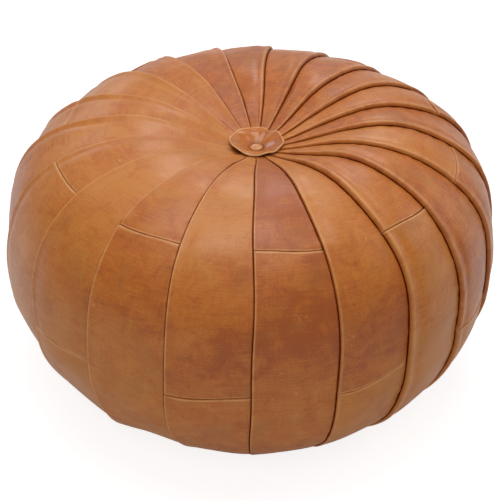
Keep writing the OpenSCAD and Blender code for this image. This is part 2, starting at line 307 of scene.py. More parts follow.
def grid_piece(name, points, hide=None, marks=None, closed=True):
    """A grid primitive whose rows and columns are moved to points[row, column], with meeting edges joined.
    A closed one has its ends filled; an open one faces upwards."""
    rows, cols = points.shape[:2]
    piece = add(bpy.ops.mesh.primitive_grid_add, name, size=1, x_subdivisions=cols - 1,
                y_subdivisions=rows - 1)
    place_points(piece.data, points, hide, marks)
    with editing(piece.data) as bm:
        bmesh.ops.remove_doubles(bm, verts=bm.verts, dist=MERGE)
        if closed:
            bmesh.ops.holes_fill(bm, edges=[e for e in bm.edges if e.is_boundary])
            bmesh.ops.triangulate(bm, faces=[f for f in bm.faces if len(f.verts) > 4])
        bmesh.ops.recalc_face_normals(bm, faces=bm.faces)
        bm.normal_update()
        if not closed and sum(face.normal.z for face in bm.faces) < 0:
            bmesh.ops.reverse_faces(bm, faces=bm.faces)
    piece.data.shade_smooth()
    return piece


def dress(piece, solid, slot, *materials, body=BODY):
    """Puts a finished piece on a body, in place of a CAD solid where it stands for one."""
    for material in materials:
        piece.data.materials.append(material)
    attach(piece, body)
    if solid:
        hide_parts(solid)


# Materials


def fill(tree, target, inputs):
    """Fills a node's inputs, by name or by number, with constants or links."""
    used = [socket for socket in target.inputs if socket.enabled]
    for key, value in inputs.items():
        socket = used[key] if isinstance(key, int) else next(s for s in used if s.name == key)
        if isinstance(value, bpy.types.NodeSocket):
            tree.links.new(value, socket)
        else:
            socket.default_value = value


def node(tree, kind, inputs=None, out=None, stops=(), **values):
    """Adds a node with its values, inputs and ramp stops, and gives its named output, or else the first in
    use. A stop is a position and either a colour or a number."""
    new = tree.nodes.new("ShaderNode" + kind)
    for key, value in values.items():
        setattr(new, key, value)
    fill(tree, new, inputs or {})
    for i, (position, value) in enumerate(stops):
        elements = new.color_ramp.elements
        stop = elements[i] if i < len(elements) else elements.new(position)
        stop.position = position
        stop.color = (value, value, value, 1) if isinstance(value, float) else tuple(value)
    return new.outputs[out] if out else next(socket for socket in new.outputs if socket.enabled)


def new_material(name):
    """A material, its node tree and its principled shader."""
    material = bpy.data.materials.new(name)
    material.use_nodes = True
    return material, material.node_tree, material.node_tree.nodes["Principled BSDF"]


def per_metre(millimetres):
    """Texture scale, in repeats per metre, for a feature of a size in millimetres."""
    return 1000 / millimetres


def darker(rgba, share):
    """A colour at a share of its light."""
    return tuple(share * c for c in rgba[:3]) + (1.0,)


# Noise in the hide: size of a feature in millimetres, detail, roughness, distortion, and its scale across and
# along the panel, where less than 1 draws it out. The grain is coarser than a real one, so that it shows.
HIDE_NOISE = {
    "cloud": (95, 3.0, 0.55, 0.6, 1, 1),
    "marble": (17, 5.0, 0.62, 0.9, 1, 1),
    "grain": (2.6, 3.0, 0.6, 0.0, 1, 1),
    "brushed_along": (1.5, 2.0, 0.55, 0.0, 1, 0.07),
    "brushed_across": (1.5, 2.0, 0.55, 0.0, 0.05, 1),
    "olive_place": (48, 4.0, 0.6, 0.5, 1, 1),
    "scratch": (34, 1.0, 0.5, 0.4, 1, 1),
    "scratch_place": (14, 2.0, 0.55, 0.0, 1, 1),
    "scuff": (3.0, 1.0, 0.5, 2.5, 1, 1),
    "scuff_place": (42, 1.0, 0.55, 0.0, 1, 1),
}
# Marks in the hide: the thin slice of a noise that draws the line, and the part of another where it shows
HIDE_MARKS = {
    "scratch": ([(0.492, 0.0), (0.5, 0.5), (0.508, 0.0)], [(0.6, 0.0), (0.68, 1.0)]),
    "scuff": ([(0.575, 0.0), (0.6, 0.6), (0.64, 0.0)], [(0.62, 0.0), (0.68, 1.0)]),
}
# Spacing of the pores in millimetres, coarse so that they show
PORE = 1.9
LEATHER_IOR = 1.5


def leather(name, colours, sheen=0.4):
    """Waxed pull-up leather: the wax thins where the hide is stretched, so ridges and marbled patches go
    pale, and the ridges also get a painted highlight; creases get painted shade; a satin surface with fine
    grain and stray scratches."""
    material, tree, shader = new_material(name)
    hide = node(tree, "UVMap")
    tone, wear, crease = (
        node(tree, "Attribute", out="Fac", attribute_name=mark) for mark in ("tone", "wear", "crease"))
    noise = {}
    for key, (size, detail, roughness, distortion, across, along) in HIDE_NOISE.items():
        drawn = node(tree, "Mapping", {"Vector": hide, "Scale": (across, along, 1)})
        noise[key] = node(tree, "TexNoise", {
            "Vector": drawn, "Scale": per_metre(size), "Detail": detail, "Roughness": roughness,
            "Distortion": distortion,
        })

    brushed = node(tree, "Mix", {"Factor": 0.68, "A": noise["brushed_along"], "B": noise["brushed_across"]})
    patch = noise["cloud"]
    for share, layer in ((0.5, noise["marble"]), (0.2, noise["grain"]), (0.25, brushed)):
        patch = node(tree, "Mix", {"Factor": share, "A": patch, "B": layer})
    toned = node(tree, "Math", {0: patch, 1: tone}, operation="ADD")
    dyed = node(tree, "ValToRGB", {"Fac": toned}, stops=[
        (0.41, colours.russet), (0.5, colours.tan), (0.6, colours.pale),
    ])
    olive = node(tree, "ValToRGB", {"Fac": noise["olive_place"]}, stops=[(0.52, 0.0), (0.72, 0.38)])

    marbled = node(tree, "ValToRGB", {"Fac": noise["marble"]}, stops=[(0.34, 0.5), (0.6, 0.95)])
    worn_and_lit = node(tree, "Math", {0: wear, 1: marbled}, operation="MULTIPLY")
    for key, (line, place) in HIDE_MARKS.items():
        drawn = node(tree, "ValToRGB", {"Fac": noise[key]}, stops=line)
        shown = node(tree, "ValToRGB", {"Fac": noise[key + "_place"]}, stops=place)
        mark = node(tree, "Math", {0: drawn, 1: shown}, operation="MULTIPLY")
        worn_and_lit = node(tree, "Math", {0: worn_and_lit, 1: mark}, operation="MAXIMUM", use_clamp=True)
    # Olive patches, then rubbed wear, scratches and painted highlight, then painted shade, over the dyed hide
    tint = dyed
    for share, over in ((olive, colours.olive), (worn_and_lit, colours.worn_and_lit), (crease, colours.shade)):
        tint = node(tree, "Mix", {"Factor": share, "A": tint, "B": tuple(over)}, data_type="RGBA")

    waxed = node(tree, "ValToRGB", {"Fac": patch}, stops=[(0.3, sheen + 0.08), (0.7, sheen - 0.05)])
    pores = node(tree, "TexVoronoi", {"Vector": hide, "Scale": per_metre(PORE)})
    pitted = node(tree, "Bump", {"Height": pores, "Strength": 0.07, "Distance": 0.3 * MM})
    crinkled = node(tree, "Bump", {
        "Height": noise["marble"], "Strength": 0.12, "Distance": 1.2 * MM, "Normal": pitted,
    })
    fill(tree, shader, {
        "Base Color": tint, "IOR": LEATHER_IOR, "Normal": crinkled,
        "Roughness": node(tree, "Mix", {"Factor": crease, "A": waxed, "B": 0.9}),
        "Specular IOR Level": node(tree, "Mix", {"Factor": crease, "A": 0.5, "B": 0.05}),
    })
    return material


def cut_leather(colours):
    """Raw cut edge: undyed fibre in layers, paler than the face and quite matt; its pale tint is partly a
    painted highlight on the medallion's rim.
    """
    material, tree, shader = new_material("raw_leather_edge")
    place = node(tree, "TexCoord", out="Object")
    fibre = node(tree, "TexNoise", {
        "Vector": place, "Scale": per_metre(1.2), "Detail": 3.0, "Roughness": 0.7,
    })
    tint = node(tree, "ValToRGB", {"Fac": fibre}, stops=[(0.22, colours.pale), (0.45, colours.edge)])
    rough = node(tree, "Bump", {"Height": fibre, "Strength": 0.3, "Distance": 0.3 * MM})
    fill(tree, shader, {"Base Color": tint, "IOR": LEATHER_IOR, "Roughness": 0.8, "Normal": rough})
    return material


def woven(name, tint, thread_mm, roughness=0.85):
    """Plain woven cotton: two sets of threads that shade one another, matt with a little slub. The threads
    are drawn coarser than real ones, so that they show."""
    material, tree, shader = new_material(name)
    place = node(tree, "TexCoord", out="Object")
    warp, weft = (node(tree, "TexWave", {
        "Vector": place, "Scale": per_metre(thread_mm) / math.tau, "Distortion": 0.6, "Detail": 1.0,
    }, out="Fac", bands_direction=axis) for axis in "XY")
    threads = node(tree, "Math", {0: warp, 1: weft}, operation="MAXIMUM")
    slub = node(tree, "TexNoise", {"Vector": place, "Scale": per_metre(12), "Detail": 3.0})
    height = node(tree, "Mix", {"Factor": 0.35, "A": threads, "B": slub})
    shaded = node(tree, "ValToRGB", {"Fac": height}, stops=[(0.2, darker(tint, 0.6)), (0.75, tint)])
    raised = node(tree, "Bump", {"Height": height, "Strength": 0.35, "Distance": 0.3 * MM})
    fill(tree, shader, {"Base Color": shaded, "IOR": 1.46, "Roughness": roughness, "Normal": raised})
    return material


def antique_brass(colours):
    """Die-cast brass with a brown patina: satin, darker in patches, polished where it rubs."""
    material, tree, shader = new_material("antique_brass")
    place = node(tree, "TexCoord", out="Object")
    patina = node(tree, "TexNoise", {"Vector": place, "Scale": per_metre(3), "Detail": 4.0, "Roughness": 0.6})
    brown = darker(colours.brass, 0.45)
    tint = node(tree, "ValToRGB", {"Fac": patina}, stops=[(0.35, brown), (0.6, colours.brass)])
    rubbed = node(tree, "ValToRGB", {"Fac": patina}, stops=[(0.3, 0.5), (0.7, 0.3)])
    fill(tree, shader, {"Base Color": tint, "Metallic": 1.0, "Roughness": rubbed})
    return material


def turned_wood(colours):
    """Beech: pale straight grain with short flecks, sanded and unfinished."""
    material, tree, shader = new_material("beech")
    place = node(tree, "TexCoord", out="Object")
    along = node(tree, "Mapping", {"Vector": place, "Scale": (0.12, 1, 1)})
    grain = node(tree, "TexNoise", {"Vector": along, "Scale": per_metre(2.5), "Detail": 4.0})
    fleck = darker(colours.wood, 0.55)
    tint = node(tree, "ValToRGB", {"Fac": grain}, stops=[(0.3, fleck), (0.6, colours.wood)])
    fill(tree, shader, {"Base Color": tint, "IOR": 1.5, "Roughness": 0.6})
    return material


# Leather panels

# Spacing of the stations along a piece, and how far the close ones lie from a cross seam, in millimetres
PANEL_ROW = 4 * MM
SEAM_ROWS = [0, 0.3, 0.6, 1.0, 1.5, 2.1, 3.0, 4.2, 6.0, 8.5, 12]
# Stations round a section: angles under the lip and up its front, shares of the width over the face, shares
# of the next lip in the tuck, and shares of the width back along the inner side
UNDER_ANGLES = np.radians([255, 235, 215, 197])
FRONT_ANGLES = np.radians(np.linspace(180, 90, 9))
FACE_STEPS = np.array([0.008, 0.016, 0.028, 0.045, 0.07, 0.1, 0.13, 0.165, 0.21, 0.27, 0.34, 0.42, 0.5, 0.58,
                       0.66, 0.74, 0.81, 0.87, 0.91, 0.94, 0.957, 0.969, 0.978, 0.985, 0.991, 0.996, 1.0])
TUCK_STEPS = np.array([0.35, 0.75])
INNER_STEPS = np.array([0.97, 0.85, 0.7, 0.52, 0.34, 0.2])
FACE_START = UNDER_ANGLES.size + FRONT_ANGLES.size
FACE_END = FACE_START + FACE_STEPS.size
# Shape of the lip, as shares of half its height, and the most that it takes of a panel's width
LIP_FRONT = 1.6
LIP_UNDER = 0.35
LIP_FOLD = 0.6
LIP_OVERHANG = 0.35
LIP_REACH = 0.16
# Inner side of the lip: across and out, as shares of half its height, and a share of the thickness
LIP_INSIDE = [(1.3, -1.5, 1.0), (0.2, -1.93, 0.5)]
# Most that the thickness or the seam allowance takes of a narrow panel's width
NARROW = 0.2
ALLOWANCE = 9 * MM
# Height of each seam's lip, from the front seam round towards +X, and how far its crest is rubbed and
# painted with a highlight
LIP_SHARES = [0.27, 0.4, 0.82, 0.75, 0.68, 0.66, 0.66, 0.66, 0.66, 0.66, 0.66, 0.72, 0.76, 0.82, 0.86, 0.84,
              0.62, 0.48, 0.4, 0.32]
RUBBED_AND_LIT = [0.75, 0.5, 0.6, 0.55, 0.55, 0.5, 0.5, 0.5, 0.5, 0.5, 0.6, 0.7, 0.65, 0.65, 0.6, 0.6, 0.7, 0.8, 0.85,
          0.85]
# Seams whose ridge is soft over the top, with only a thin rubbed line with painted highlight
SOFT_SEAMS = range(11, 18)
# Depth of the valley behind each seam's ridge, as a share of the lip, where it isn't the usual one
RIDGE = {2: 0.24, 3: 0.24, 12: 0.24, 13: 0.3, 14: 0.34, 15: 0.34, 16: 0.26}
USUAL_RIDGE = 0.18
# How far each panel is drawn in between its seams over the shoulder, in millimetres
HOLLOW = [0, 0, 0, 0, 0.5, 0.8, 0.6, 0.8, 0.8, 1.0, 1.4, 2.0, 2.6, 2.8, 2.8, 1.7, 0.4, 0, 0, 0]
# The same below the widest line
SKIRT_HOLLOW = {16: 0.8, 17: 1.8, 18: 1.8, 19: 0.8}
# Width of the painted shade line that shows beside a seam, where it isn't the usual one, in millimetres
SEAM_LINE = {1: 1.2, 18: 0.6, 19: 0.75}
USUAL_LINE = 1.1
# How much wider that line is beside the medallion, in millimetres
LINE_AT_TIP = {19: 1.1}
# Lumps in the stuffing: angle from the front, leather from the widest line, height and spread of each, in
# degrees and millimetres
LUMPS = [(-118, -152, -4.6, 27, 42), (-76, -25, 2.4, 14, 40), (72, -15, 1.2, 14, 40),
         (108, -135, 1.4, 30, 45), (26, 70, 1.2, 24, 30)]
# Radius of the ring that the stuffing's waves are drawn on, and the size of these waves, of those in one
# piece, of its wrinkles and of a seam's sway
STUFFING_RING = 200 * MM
STUFFING_WAVE = 110 * MM
PIECE_WAVE = 60 * MM
WRINKLE_WAVE = 12 * MM
SWAY_WAVE = 160 * MM
# Cross seams that sit above (+) or below the usual line, and that rise towards the next seam, in millimetres
JOIN_SHIFT = {0: 1, 1: 3, 2: -2, 4: -6, 14: 7, 16: 5, 17: 1, 18: 3, 19: 3}
JOIN_RISE = {0: -5, 1: 8, 2: 0, 4: 9, 14: 5, 16: 1, 17: 5, 18: 0, 19: 8}
# The most that the others rise or fall by chance, that any of them bows, and how far from it this fades
CHANCE_RISE = 4
CHANCE_BOW = 1.2
JOIN_FADE = 40 * MM
# How dark a cross seam shows, in its gap, groove, step and painted shade, where it isn't the usual line
JOIN_DARK = {1: 0.12, 3: 0.5, 4: 0.2, 14: 0.1, 16: 0.5, 17: 0.03, 19: 0.5}
# Beside a cross seam, for each part: the step of its edge and how far that runs, and the strength, place and
# width of its pale line, rubbed and with a painted highlight
JOIN_STEP = {"upper": (-0.35 * MM, 5 * MM), "lower": (0.8 * MM, 10 * MM)}
JOIN_RUBBED_AND_LIT = {"upper": (0.85, -1.3 * MM, 0.7 * MM), "lower": (1.0, 1.4 * MM, 0.9 * MM)}
# The medallion's shadow on the tips: angle from the front in degrees, spread in radians and strength
TIP_SHADOW = [(-45, 0.45, 1.0), (20, 0.25, 0.7)]
# How dark the painted shade is: under the lip, up its front, in the line beside the next lip and about that
# line, in the cross seams and under the medallion
DARK = {"under": 0.9, "front": 0.3, "line": 0.98, "about": 0.16, "seam": 0.55, "tip": 0.8}

# How far the hide is made paler over the top, and below the shoulder
TOP_PALING = {1: 0.125, 19: 0.115}
USUAL_TOP_PALING = 0.035
LOW_PALING = 0.065
# Extent of the hide, panels cut from another part of it, and how far the lower pieces are cut from the upper
# ones, in metres
HIDE_SPAN = 5
HIDE_SHIFT = {0: 0.23, 19: 0.37}
LOWER_SHIFT = 2.5
# How far each piece's hide is from the middle tone, from the front seam round towards +X
TONES = {
    "upper": [-0.1, -0.045, 0.0, -0.02, 0.01, -0.03, 0.01, -0.05, -0.07, -0.07, -0.09, -0.06, -0.03, 0.02,
              0.02, 0.02, 0.02, 0.03, 0.01, -0.02],
    "lower": [-0.055, 0.0, 0.05, 0.03, -0.02, 0.03, -0.02, 0.02, -0.03, 0.01, 0.02, -0.02, 0.01, -0.03,
              0.03, 0.04, 0.04, 0.04, 0.01, -0.03],
}
# Seeds of the random draws: the step between panels and to a lower piece, the seams' and the stuffing's
PANEL_SEED = 100
LOWER_SEED = 50
SWAY_SEED = 900
STUFFING_SEED = 7


def seam_angle(shape, k):
    """Angle of a seam from the front towards +X."""
    even = math.tau * k / shape.panels
    return even - shape.drift * (1 - math.cos(even))


def lip_height(detail, line, s, k):
    """A seam's lip grows from the crowded tips, slackens and is pressed flat towards the floor."""
    grown = rising(s, 0, 90 * MM, 0.34)
    slack = falling(s, line.girth_s + 95 * MM, 85 * MM, 0.6)
    pressed = falling(s, line.foot_s - 15 * MM, 100 * MM, 0.25)
    return detail.lip * LIP_SHARES[k % len(LIP_SHARES)] * grown * slack * pressed


class Stuffed:
    """How far the stuffing swells the cover between its seams: a cloth simulation under pressure, with the
    seams, the tips and the foot held."""

    ACROSS = 8
    ROWS = 78
    FRAMES = 20
    TIP_HELD = 25 * MM
    FOOT_HELD = 20 * MM
    CAP = 2 * MM
    SMOOTHING = 3
    # How far a place stays from the end of the rows or columns, so that there is a next one
    INSIDE = 1.001
    # The hide as a cloth
    HIDE = {
        "quality": 6, "mass": 0.02, "tension_stiffness": 80, "compression_stiffness": 80,
        "shear_stiffness": 80, "bending_stiffness": 150, "shrink_min": -0.006, "use_pressure": True,
        "uniform_pressure_force": 4.0,
    }

    def __init__(self, shape, line):
        self.s = np.linspace(0, line.base_s, self.ROWS)
        self.swell = np.zeros((self.ROWS, shape.panels * self.ACROSS + 1))
        self.simulate(shape, line)
        self.smooth()

    def simulate(self, shape, line):
        """Blows the cover up, reads how far each point moved outwards, and takes the cover away again."""
        seams = np.array([seam_angle(shape, k) for k in range(shape.panels + 1)])
        column = np.arange(self.swell.shape[1])
        angle, s = np.meshgrid(np.interp(column / self.ACROSS, np.arange(seams.size), seams), self.s)
        r, z, nr, nz, lean = line.at(s)
        points, outward = around(angle, r, z, lean), around(angle, nr, nz)
        place = np.arange(s.size).reshape(s.shape)
        cover = grid_piece("cover", points, marks={"place": place})
        index = np.zeros(len(cover.data.vertices), np.float32)
        cover.data.attributes["place"].data.foreach_get("value", index)
        index = np.rint(index).astype(int)
        held = (column % self.ACROSS == 0) | (s < self.TIP_HELD) | (s > line.foot_s - self.FOOT_HELD)
        sewn = cover.vertex_groups.new(name="sewn")
        sewn.add([int(i) for i in np.flatnonzero(held.reshape(-1)[index])], 1.0, "REPLACE")
        cloth = cover.modifiers.new("cloth", "CLOTH")
        for key, value in self.HIDE.items():
            setattr(cloth.settings, key, value)
        cloth.settings.vertex_group_mass = sewn.name
        cloth.settings.effector_weights.gravity = 0
        cloth.point_cache.frame_start, cloth.point_cache.frame_end = 1, self.FRAMES
        for frame_number in range(1, self.FRAMES + 1):
            bpy.context.scene.frame_set(frame_number)
        moved = cover.evaluated_get(bpy.context.evaluated_depsgraph_get()).data
        after = np.zeros(3 * len(moved.vertices), np.float32)
        moved.vertices.foreach_get("co", after)
        step = after.reshape(-1, 3) - points.reshape(-1, 3)[index]
        swell = np.sum(step * outward.reshape(-1, 3)[index], -1)
        self.swell.reshape(-1)[index] = np.clip(swell, -self.CAP, self.CAP)
        bpy.data.objects.remove(cover)
        bpy.context.scene.frame_set(1)

    def smooth(self):
        """Evens the swell out between neighbours, with the seams kept at rest."""
        for _ in range(self.SMOOTHING):
            ring = self.swell[:, :-1]
            ring = 0.5 * ring + 0.25 * (np.roll(ring, 1, 1) + np.roll(ring, -1, 1))
            ring[1:-1] = 0.5 * ring[1:-1] + 0.25 * (ring[:-2] + ring[2:])
            ring[:, ::self.ACROSS] = 0
            self.swell[:, :-1] = ring
        self.swell[:, -1] = 0

    def at(self, k, across, s):
        """Swell at a share of a panel's width and a length of leather."""
        rows, cols = self.swell.shape
        row = np.clip(np.interp(s, self.s, np.arange(rows)), 0, rows - self.INSIDE)
        col = np.clip((k + np.clip(across, 0, 1)) * self.ACROSS, 0, cols - self.INSIDE)
        i, j = row.astype(int), col.astype(int)
        u, v = row - i, col - j
        near, far = ((1 - v) * self.swell[row, j] + v * self.swell[row, j + 1] for row in (i, i + 1))
        return (1 - u) * near + u * far


class PanelPiece:
    """One leather piece of a panel: a rolled lip, a stuffed face, a tucked edge and an inner side. Rows are
    stations along the leather, s, and columns are points round the section: x across the panel from its seam,
    y outwards from the meridian."""

    def __init__(self, k, part, shape, detail, line, stuffed):
        self.k, self.part, self.detail, self.line = k, part, detail, line
        self.next_seam = (k + 1) % shape.panels
        self.seed = PANEL_SEED * k + (LOWER_SEED if part == "lower" else 0)
        self.soft = k in SOFT_SEAMS
        self.dark = JOIN_DARK.get(k, 1.0)
        rng = np.random.default_rng(k)
        chance_rise = rng.uniform(-CHANCE_RISE, CHANCE_RISE)
        self.rise = JOIN_RISE.get(k, chance_rise) * MM
        self.bow = rng.uniform(-CHANCE_BOW, CHANCE_BOW) * MM
        self.cut = rng.uniform(0, HIDE_SPAN, 2) + (LOWER_SHIFT if part == "lower" else 0)
        self.cut = self.cut + HIDE_SHIFT.get(k, 0)

        self.lay_stations(shape)
        self.lay_seams(shape)
        self.lay_section()
        self.sew_join()
        self.stuff(stuffed)
        r, z, nr, nz, lean = line.at(self.s_all)
        self.points = around(self.angle, r + nr * self.y, np.maximum(z + nz * self.y, 0), lean)

    def lay_stations(self, shape):
        """Stations along the piece, closer together beside the cross seam."""
        usual = shape.high_join if self.k % 2 == 0 else shape.low_join
        join = self.line.girth_s - usual - JOIN_SHIFT.get(self.k, 0) * MM
        half_gap = self.detail.seam_gap / 2 * (0.4 + 0.6 * self.dark)
        near = np.array(SEAM_ROWS) * MM
        if self.part == "upper":
            head, tail = np.array([0]), join - half_gap - near[::-1]
        else:
            head, tail = join + half_gap + near, np.array([self.line.base_s])
        count = max(2, int(round((tail[0] - head[-1]) / PANEL_ROW)))
        even = np.linspace(head[-1], tail[0], count + 1)[1:-1]
        self.s = np.concatenate([head, even, tail])[:, None]
        self.from_join = self.s - join

    def lay_seams(self, shape):
        """The piece's two seams, with their lips, and the width between them."""
        s, seams = self.s, (self.k, self.k + 1)
        self.r_mid, _, self.nr_mid, _, _ = self.line.at(s)
        self.lip, self.next_lip = (lip_height(self.detail, self.line, s, k) for k in seams)
        self.roll, self.next_roll = self.lip / 2, self.next_lip / 2
        sway = self.detail.sway * rising(s, 0, 120 * MM)
        swayed = (sway * wander(s, 0, SWAY_WAVE, SWAY_SEED + k % shape.panels, 5) for k in seams)
        self.left, self.right = (seam_angle(shape, k) + x / self.r_mid for k, x in zip(seams, swayed))
        self.width = (self.right - self.left) * self.r_mid

    def lay_section(self):
        """Points round the section, from under the lip over the face and back along the inner side."""
        s, line, roll, width = self.s, self.line, self.roll, self.width
        reach = np.minimum(roll, LIP_REACH * width)
        self.crest = crest = reach - LIP_OVERHANG * roll
        sag = width ** 2 * np.maximum(self.nr_mid, 0) / (8 * self.r_mid)
        sag = sag * rising(s, line.girth_s, 60 * MM, 0.4)
        shoulder = rising(s, 40 * MM, 80 * MM) * falling(s, line.girth_s + 30 * MM, 80 * MM)
        skirt = rising(s, line.girth_s, 40 * MM) * falling(s, line.foot_s, 50 * MM)
        hollow = HOLLOW[self.k % len(HOLLOW)] * MM * shoulder + SKIRT_HOLLOW.get(self.k, 0) * MM * skirt
        allowance = np.minimum(ALLOWANCE, NARROW * width)
        ridge = RIDGE.get(self.k, USUAL_RIDGE) * self.lip
        if self.soft:
            ridge = ridge * rising(s, 100 * MM, 80 * MM, 0.35)

        def face(share, depth):
            """Points of the stuffed face, at shares of its width and a depth below the crest."""
            x = crest + (width - crest) * share
            valley = ridge * hump(x - crest - 0.8 * allowance, 0.5 * allowance)
            drop = self.next_lip * share ** 1.6 + (sag + hollow) * 4 * share * (1 - share) + valley
            return x, -drop - depth

        thin = np.minimum(self.detail.thickness, NARROW * width)
        under = (crest - reach + LIP_FOLD * roll * (1 + np.cos(UNDER_ANGLES)),
                 -LIP_FRONT * roll + LIP_UNDER * roll * np.sin(UNDER_ANGLES))
        front = crest + reach * np.cos(FRONT_ANGLES), LIP_FRONT * roll * (np.sin(FRONT_ANGLES) - 1)
        tuck = width + self.next_roll * TUCK_STEPS, -self.next_lip - 0.2 * self.next_roll * TUCK_STEPS
        end = tuck[0][:, -1:], tuck[1][:, -1:] - thin
        inside = [(crest + across * roll, out * roll - share * thin) for across, out, share in LIP_INSIDE]
        start = under[0][:, :1], under[1][:, :1]
        loop = [under, front, face(FACE_STEPS, 0), tuck, end, face(INNER_STEPS, thin), *inside, start]
        self.x, self.y = (np.hstack(values) for values in zip(*loop))
        self.column = np.arange(self.x.shape[1])
        self.outer = self.column < FACE_END
        self.across = np.clip((self.x - crest) / (width - crest), 0, 1)
        self.angle = self.left + (self.right - self.left) * self.x / width

    def sew_join(self):
        """The cross seam slants a little, its allowance lies under the lower piece and it pinches the lip."""
        away, across = self.from_join, self.across
        slant = -self.rise * (across - 0.5) + self.bow * np.sin(math.tau * across)
        self.s_all = self.s + slant * np.exp(-np.abs(away) / JOIN_FADE)
        groove = -self.detail.groove * (0.1 + 0.9 * self.dark) * hump(away, self.detail.groove_width)
        height, run = JOIN_STEP[self.part]
        step = height * hump(away, run) * (0.2 + 0.8 * self.dark)
        pinch = -0.3 * self.roll * hump(away, 6 * MM) * hump(across, 0.06)
        self.y = self.y + self.outer * (groove + step + pinch)

    def stuff(self, stuffed):
        """The stuffing lifts all panels alike, with lumps, and small wrinkles run out of the seams."""
        s, s_all, x, width, across = self.s, self.s_all, self.x, self.width, self.across
        line, detail = self.line, self.detail
        arc_x, arc_y = STUFFING_RING * np.sin(self.angle), STUFFING_RING * np.cos(self.angle)
        uneven = wander(arc_x + s_all, arc_y - 0.4 * s_all, STUFFING_WAVE, STUFFING_SEED)
        lift = detail.swell * rising(s, 0, 80 * MM) * falling(s, line.foot_s, 100 * MM) * uneven
        for at, along, height, spread, run in LUMPS:
            beside = hump(turned(self.angle, at), math.radians(spread))
            lift = lift + height * MM * beside * hump(s_all - line.girth_s - along * MM, run * MM)
        lift = lift + stuffed.at(self.k, x / width, s_all)

        own = 0.35 * detail.swell * wander(x, s_all, PIECE_WAVE, self.seed + 1)
        own = own * rising(across, 0, 0.2) * falling(across, 1, 0.15)
        from_left, from_right = across * width, (1 - across) * width
        near = np.exp(-from_left / (11 * MM)) * rising(from_left, 0, 4 * MM) + np.exp(-from_right / (14 * MM))
        wrinkle = detail.pucker * near * wander(0.25 * x, s_all, WRINKLE_WAVE, self.seed + 2)
        wrinkle = wrinkle * rising(s, 0, 50 * MM) * rising(width, 0, 50 * MM)
        calm = falling(s, line.base_s - 10 * MM, 50 * MM)
        self.y = self.y + lift + self.outer * calm * (own + wrinkle)

    def hide(self):
        """Place of each point on the flat hide."""
        return np.stack([self.x + self.cut[0], self.s_all + self.cut[1]], -1)

    def marks(self):
        """The hide's tone, how far it is rubbed and painted with a highlight, and how dark its painted shade
        is.
        """
        girth = self.line.girth_s
        paling = TOP_PALING.get(self.k, USUAL_TOP_PALING) * falling(self.s, girth - 100 * MM, 100 * MM)
        paling = paling + LOW_PALING * rising(self.s, girth - 80 * MM, 80 * MM)
        tones = TONES[self.part]
        return {"tone": tones[self.k % len(tones)] + paling, "wear": self.wear(), "crease": self.crease()}

    def wear(self):
        """Rubbed, with a painted highlight, along the lip's crest and beside the cross seam."""
        crest_width = (0.12 if self.soft else 0.3) * self.lip + 0.2 * MM
        crest = RUBBED_AND_LIT[self.k % len(RUBBED_AND_LIT)] * hump(self.x - self.crest, crest_width) * self.outer
        strength, place, width = JOIN_RUBBED_AND_LIT[self.part]
        return np.clip(np.maximum(crest, strength * hump(self.from_join - place, width)), 0, 1)

    def crease(self):
        """Painted shade under and before the lip, beside the next lip, in the cross seam and under the
        medallion.
        """
        s, column = self.s, self.column
        under = DARK["under"] * np.clip((UNDER_ANGLES.size + 1 - column) / 2, 0, 1)
        front = DARK["front"] * np.clip((FACE_START - column) / FRONT_ANGLES.size, 0, 1) ** 2
        room = self.width - LIP_OVERHANG * self.next_roll - self.x
        sunk = rising(s, self.line.girth_s - 120 * MM, 80 * MM)
        wider = SEAM_LINE.get(self.next_seam, USUAL_LINE) - USUAL_LINE
        line_width = USUAL_LINE + wider * (0.25 + 0.75 * sunk)
        line_width = line_width + LINE_AT_TIP.get(self.next_seam, 0) * falling(s, 120 * MM, 50 * MM)
        line_width = line_width * MM
        beside = DARK["line"] * falling(room, 1.6 * line_width, line_width)
        beside = beside + DARK["about"] * sunk * np.exp(-np.maximum(room, 0) / (2.6 * MM))
        beside = beside * (column >= FACE_START) * rising(self.width, 0, 16 * MM)
        seam = DARK["seam"] * self.dark * hump(self.from_join, 0.8 * self.detail.groove_width)
        shadow = sum(strength * hump(turned(self.angle, at), spread) for at, spread, strength in TIP_SHADOW)
        seam = seam + DARK["tip"] * falling(s, 14.5 * MM, 4 * MM) * shadow
        return np.clip(np.maximum(np.maximum(under, front), np.maximum(beside, seam)), 0, 1)


class POUF_OT_panels(bpy.types.Operator):
    """Model the leather pieces of every panel"""

    bl_idname = "pouf.panels"
    bl_label = "Leather panels"

    def execute(self, context):
        scene = context.scene
        shape, detail = scene.pouf_shape, scene.pouf_leather
        line = Outline(shape)
        stuffed = Stuffed(shape, line)
        finish = leather("pull_up_leather", scene.pouf_colours)
        for part in ("upper", "lower"):
            for k in range(shape.panels):
                panel = PanelPiece(k, part, shape, detail, line, stuffed)
                piece = grid_piece(f"leather_{k + 1:02d}_{part}", panel.points, panel.hide(), panel.marks())
                dress(piece, f"panel_{k + 1:02d}_{part}", "panel_leather", finish)
        return {"FINISHED"}


# Medallion and button

# Lobes of the medallion's rim: angle from the front towards +X, lift and width, in degrees and millimetres
RIM_LOBES = [(-52, 4.2, 20), (24, 2.0, 15), (70, 1.5, 18), (116, 1.0, 14), (-140, 0.6, 22), (-96, 1.4, 16)]
FOLD_ANGLE = 146
DISC_THICKNESS = 1.6 * MM
DISC_HOLE = 3.8 * MM
DISC_DISH = 5.5 * MM
# Share of the radius outside which the rim's top takes the pale raw edge finish, partly a painted highlight
RAW_EDGE = 0.966
# Where the disc and the button are cut from the hide, in metres
DISC_CUT = (9, 4)
BUTTON_CUT = (3, 7)
BUTTON_PLEATS = 18


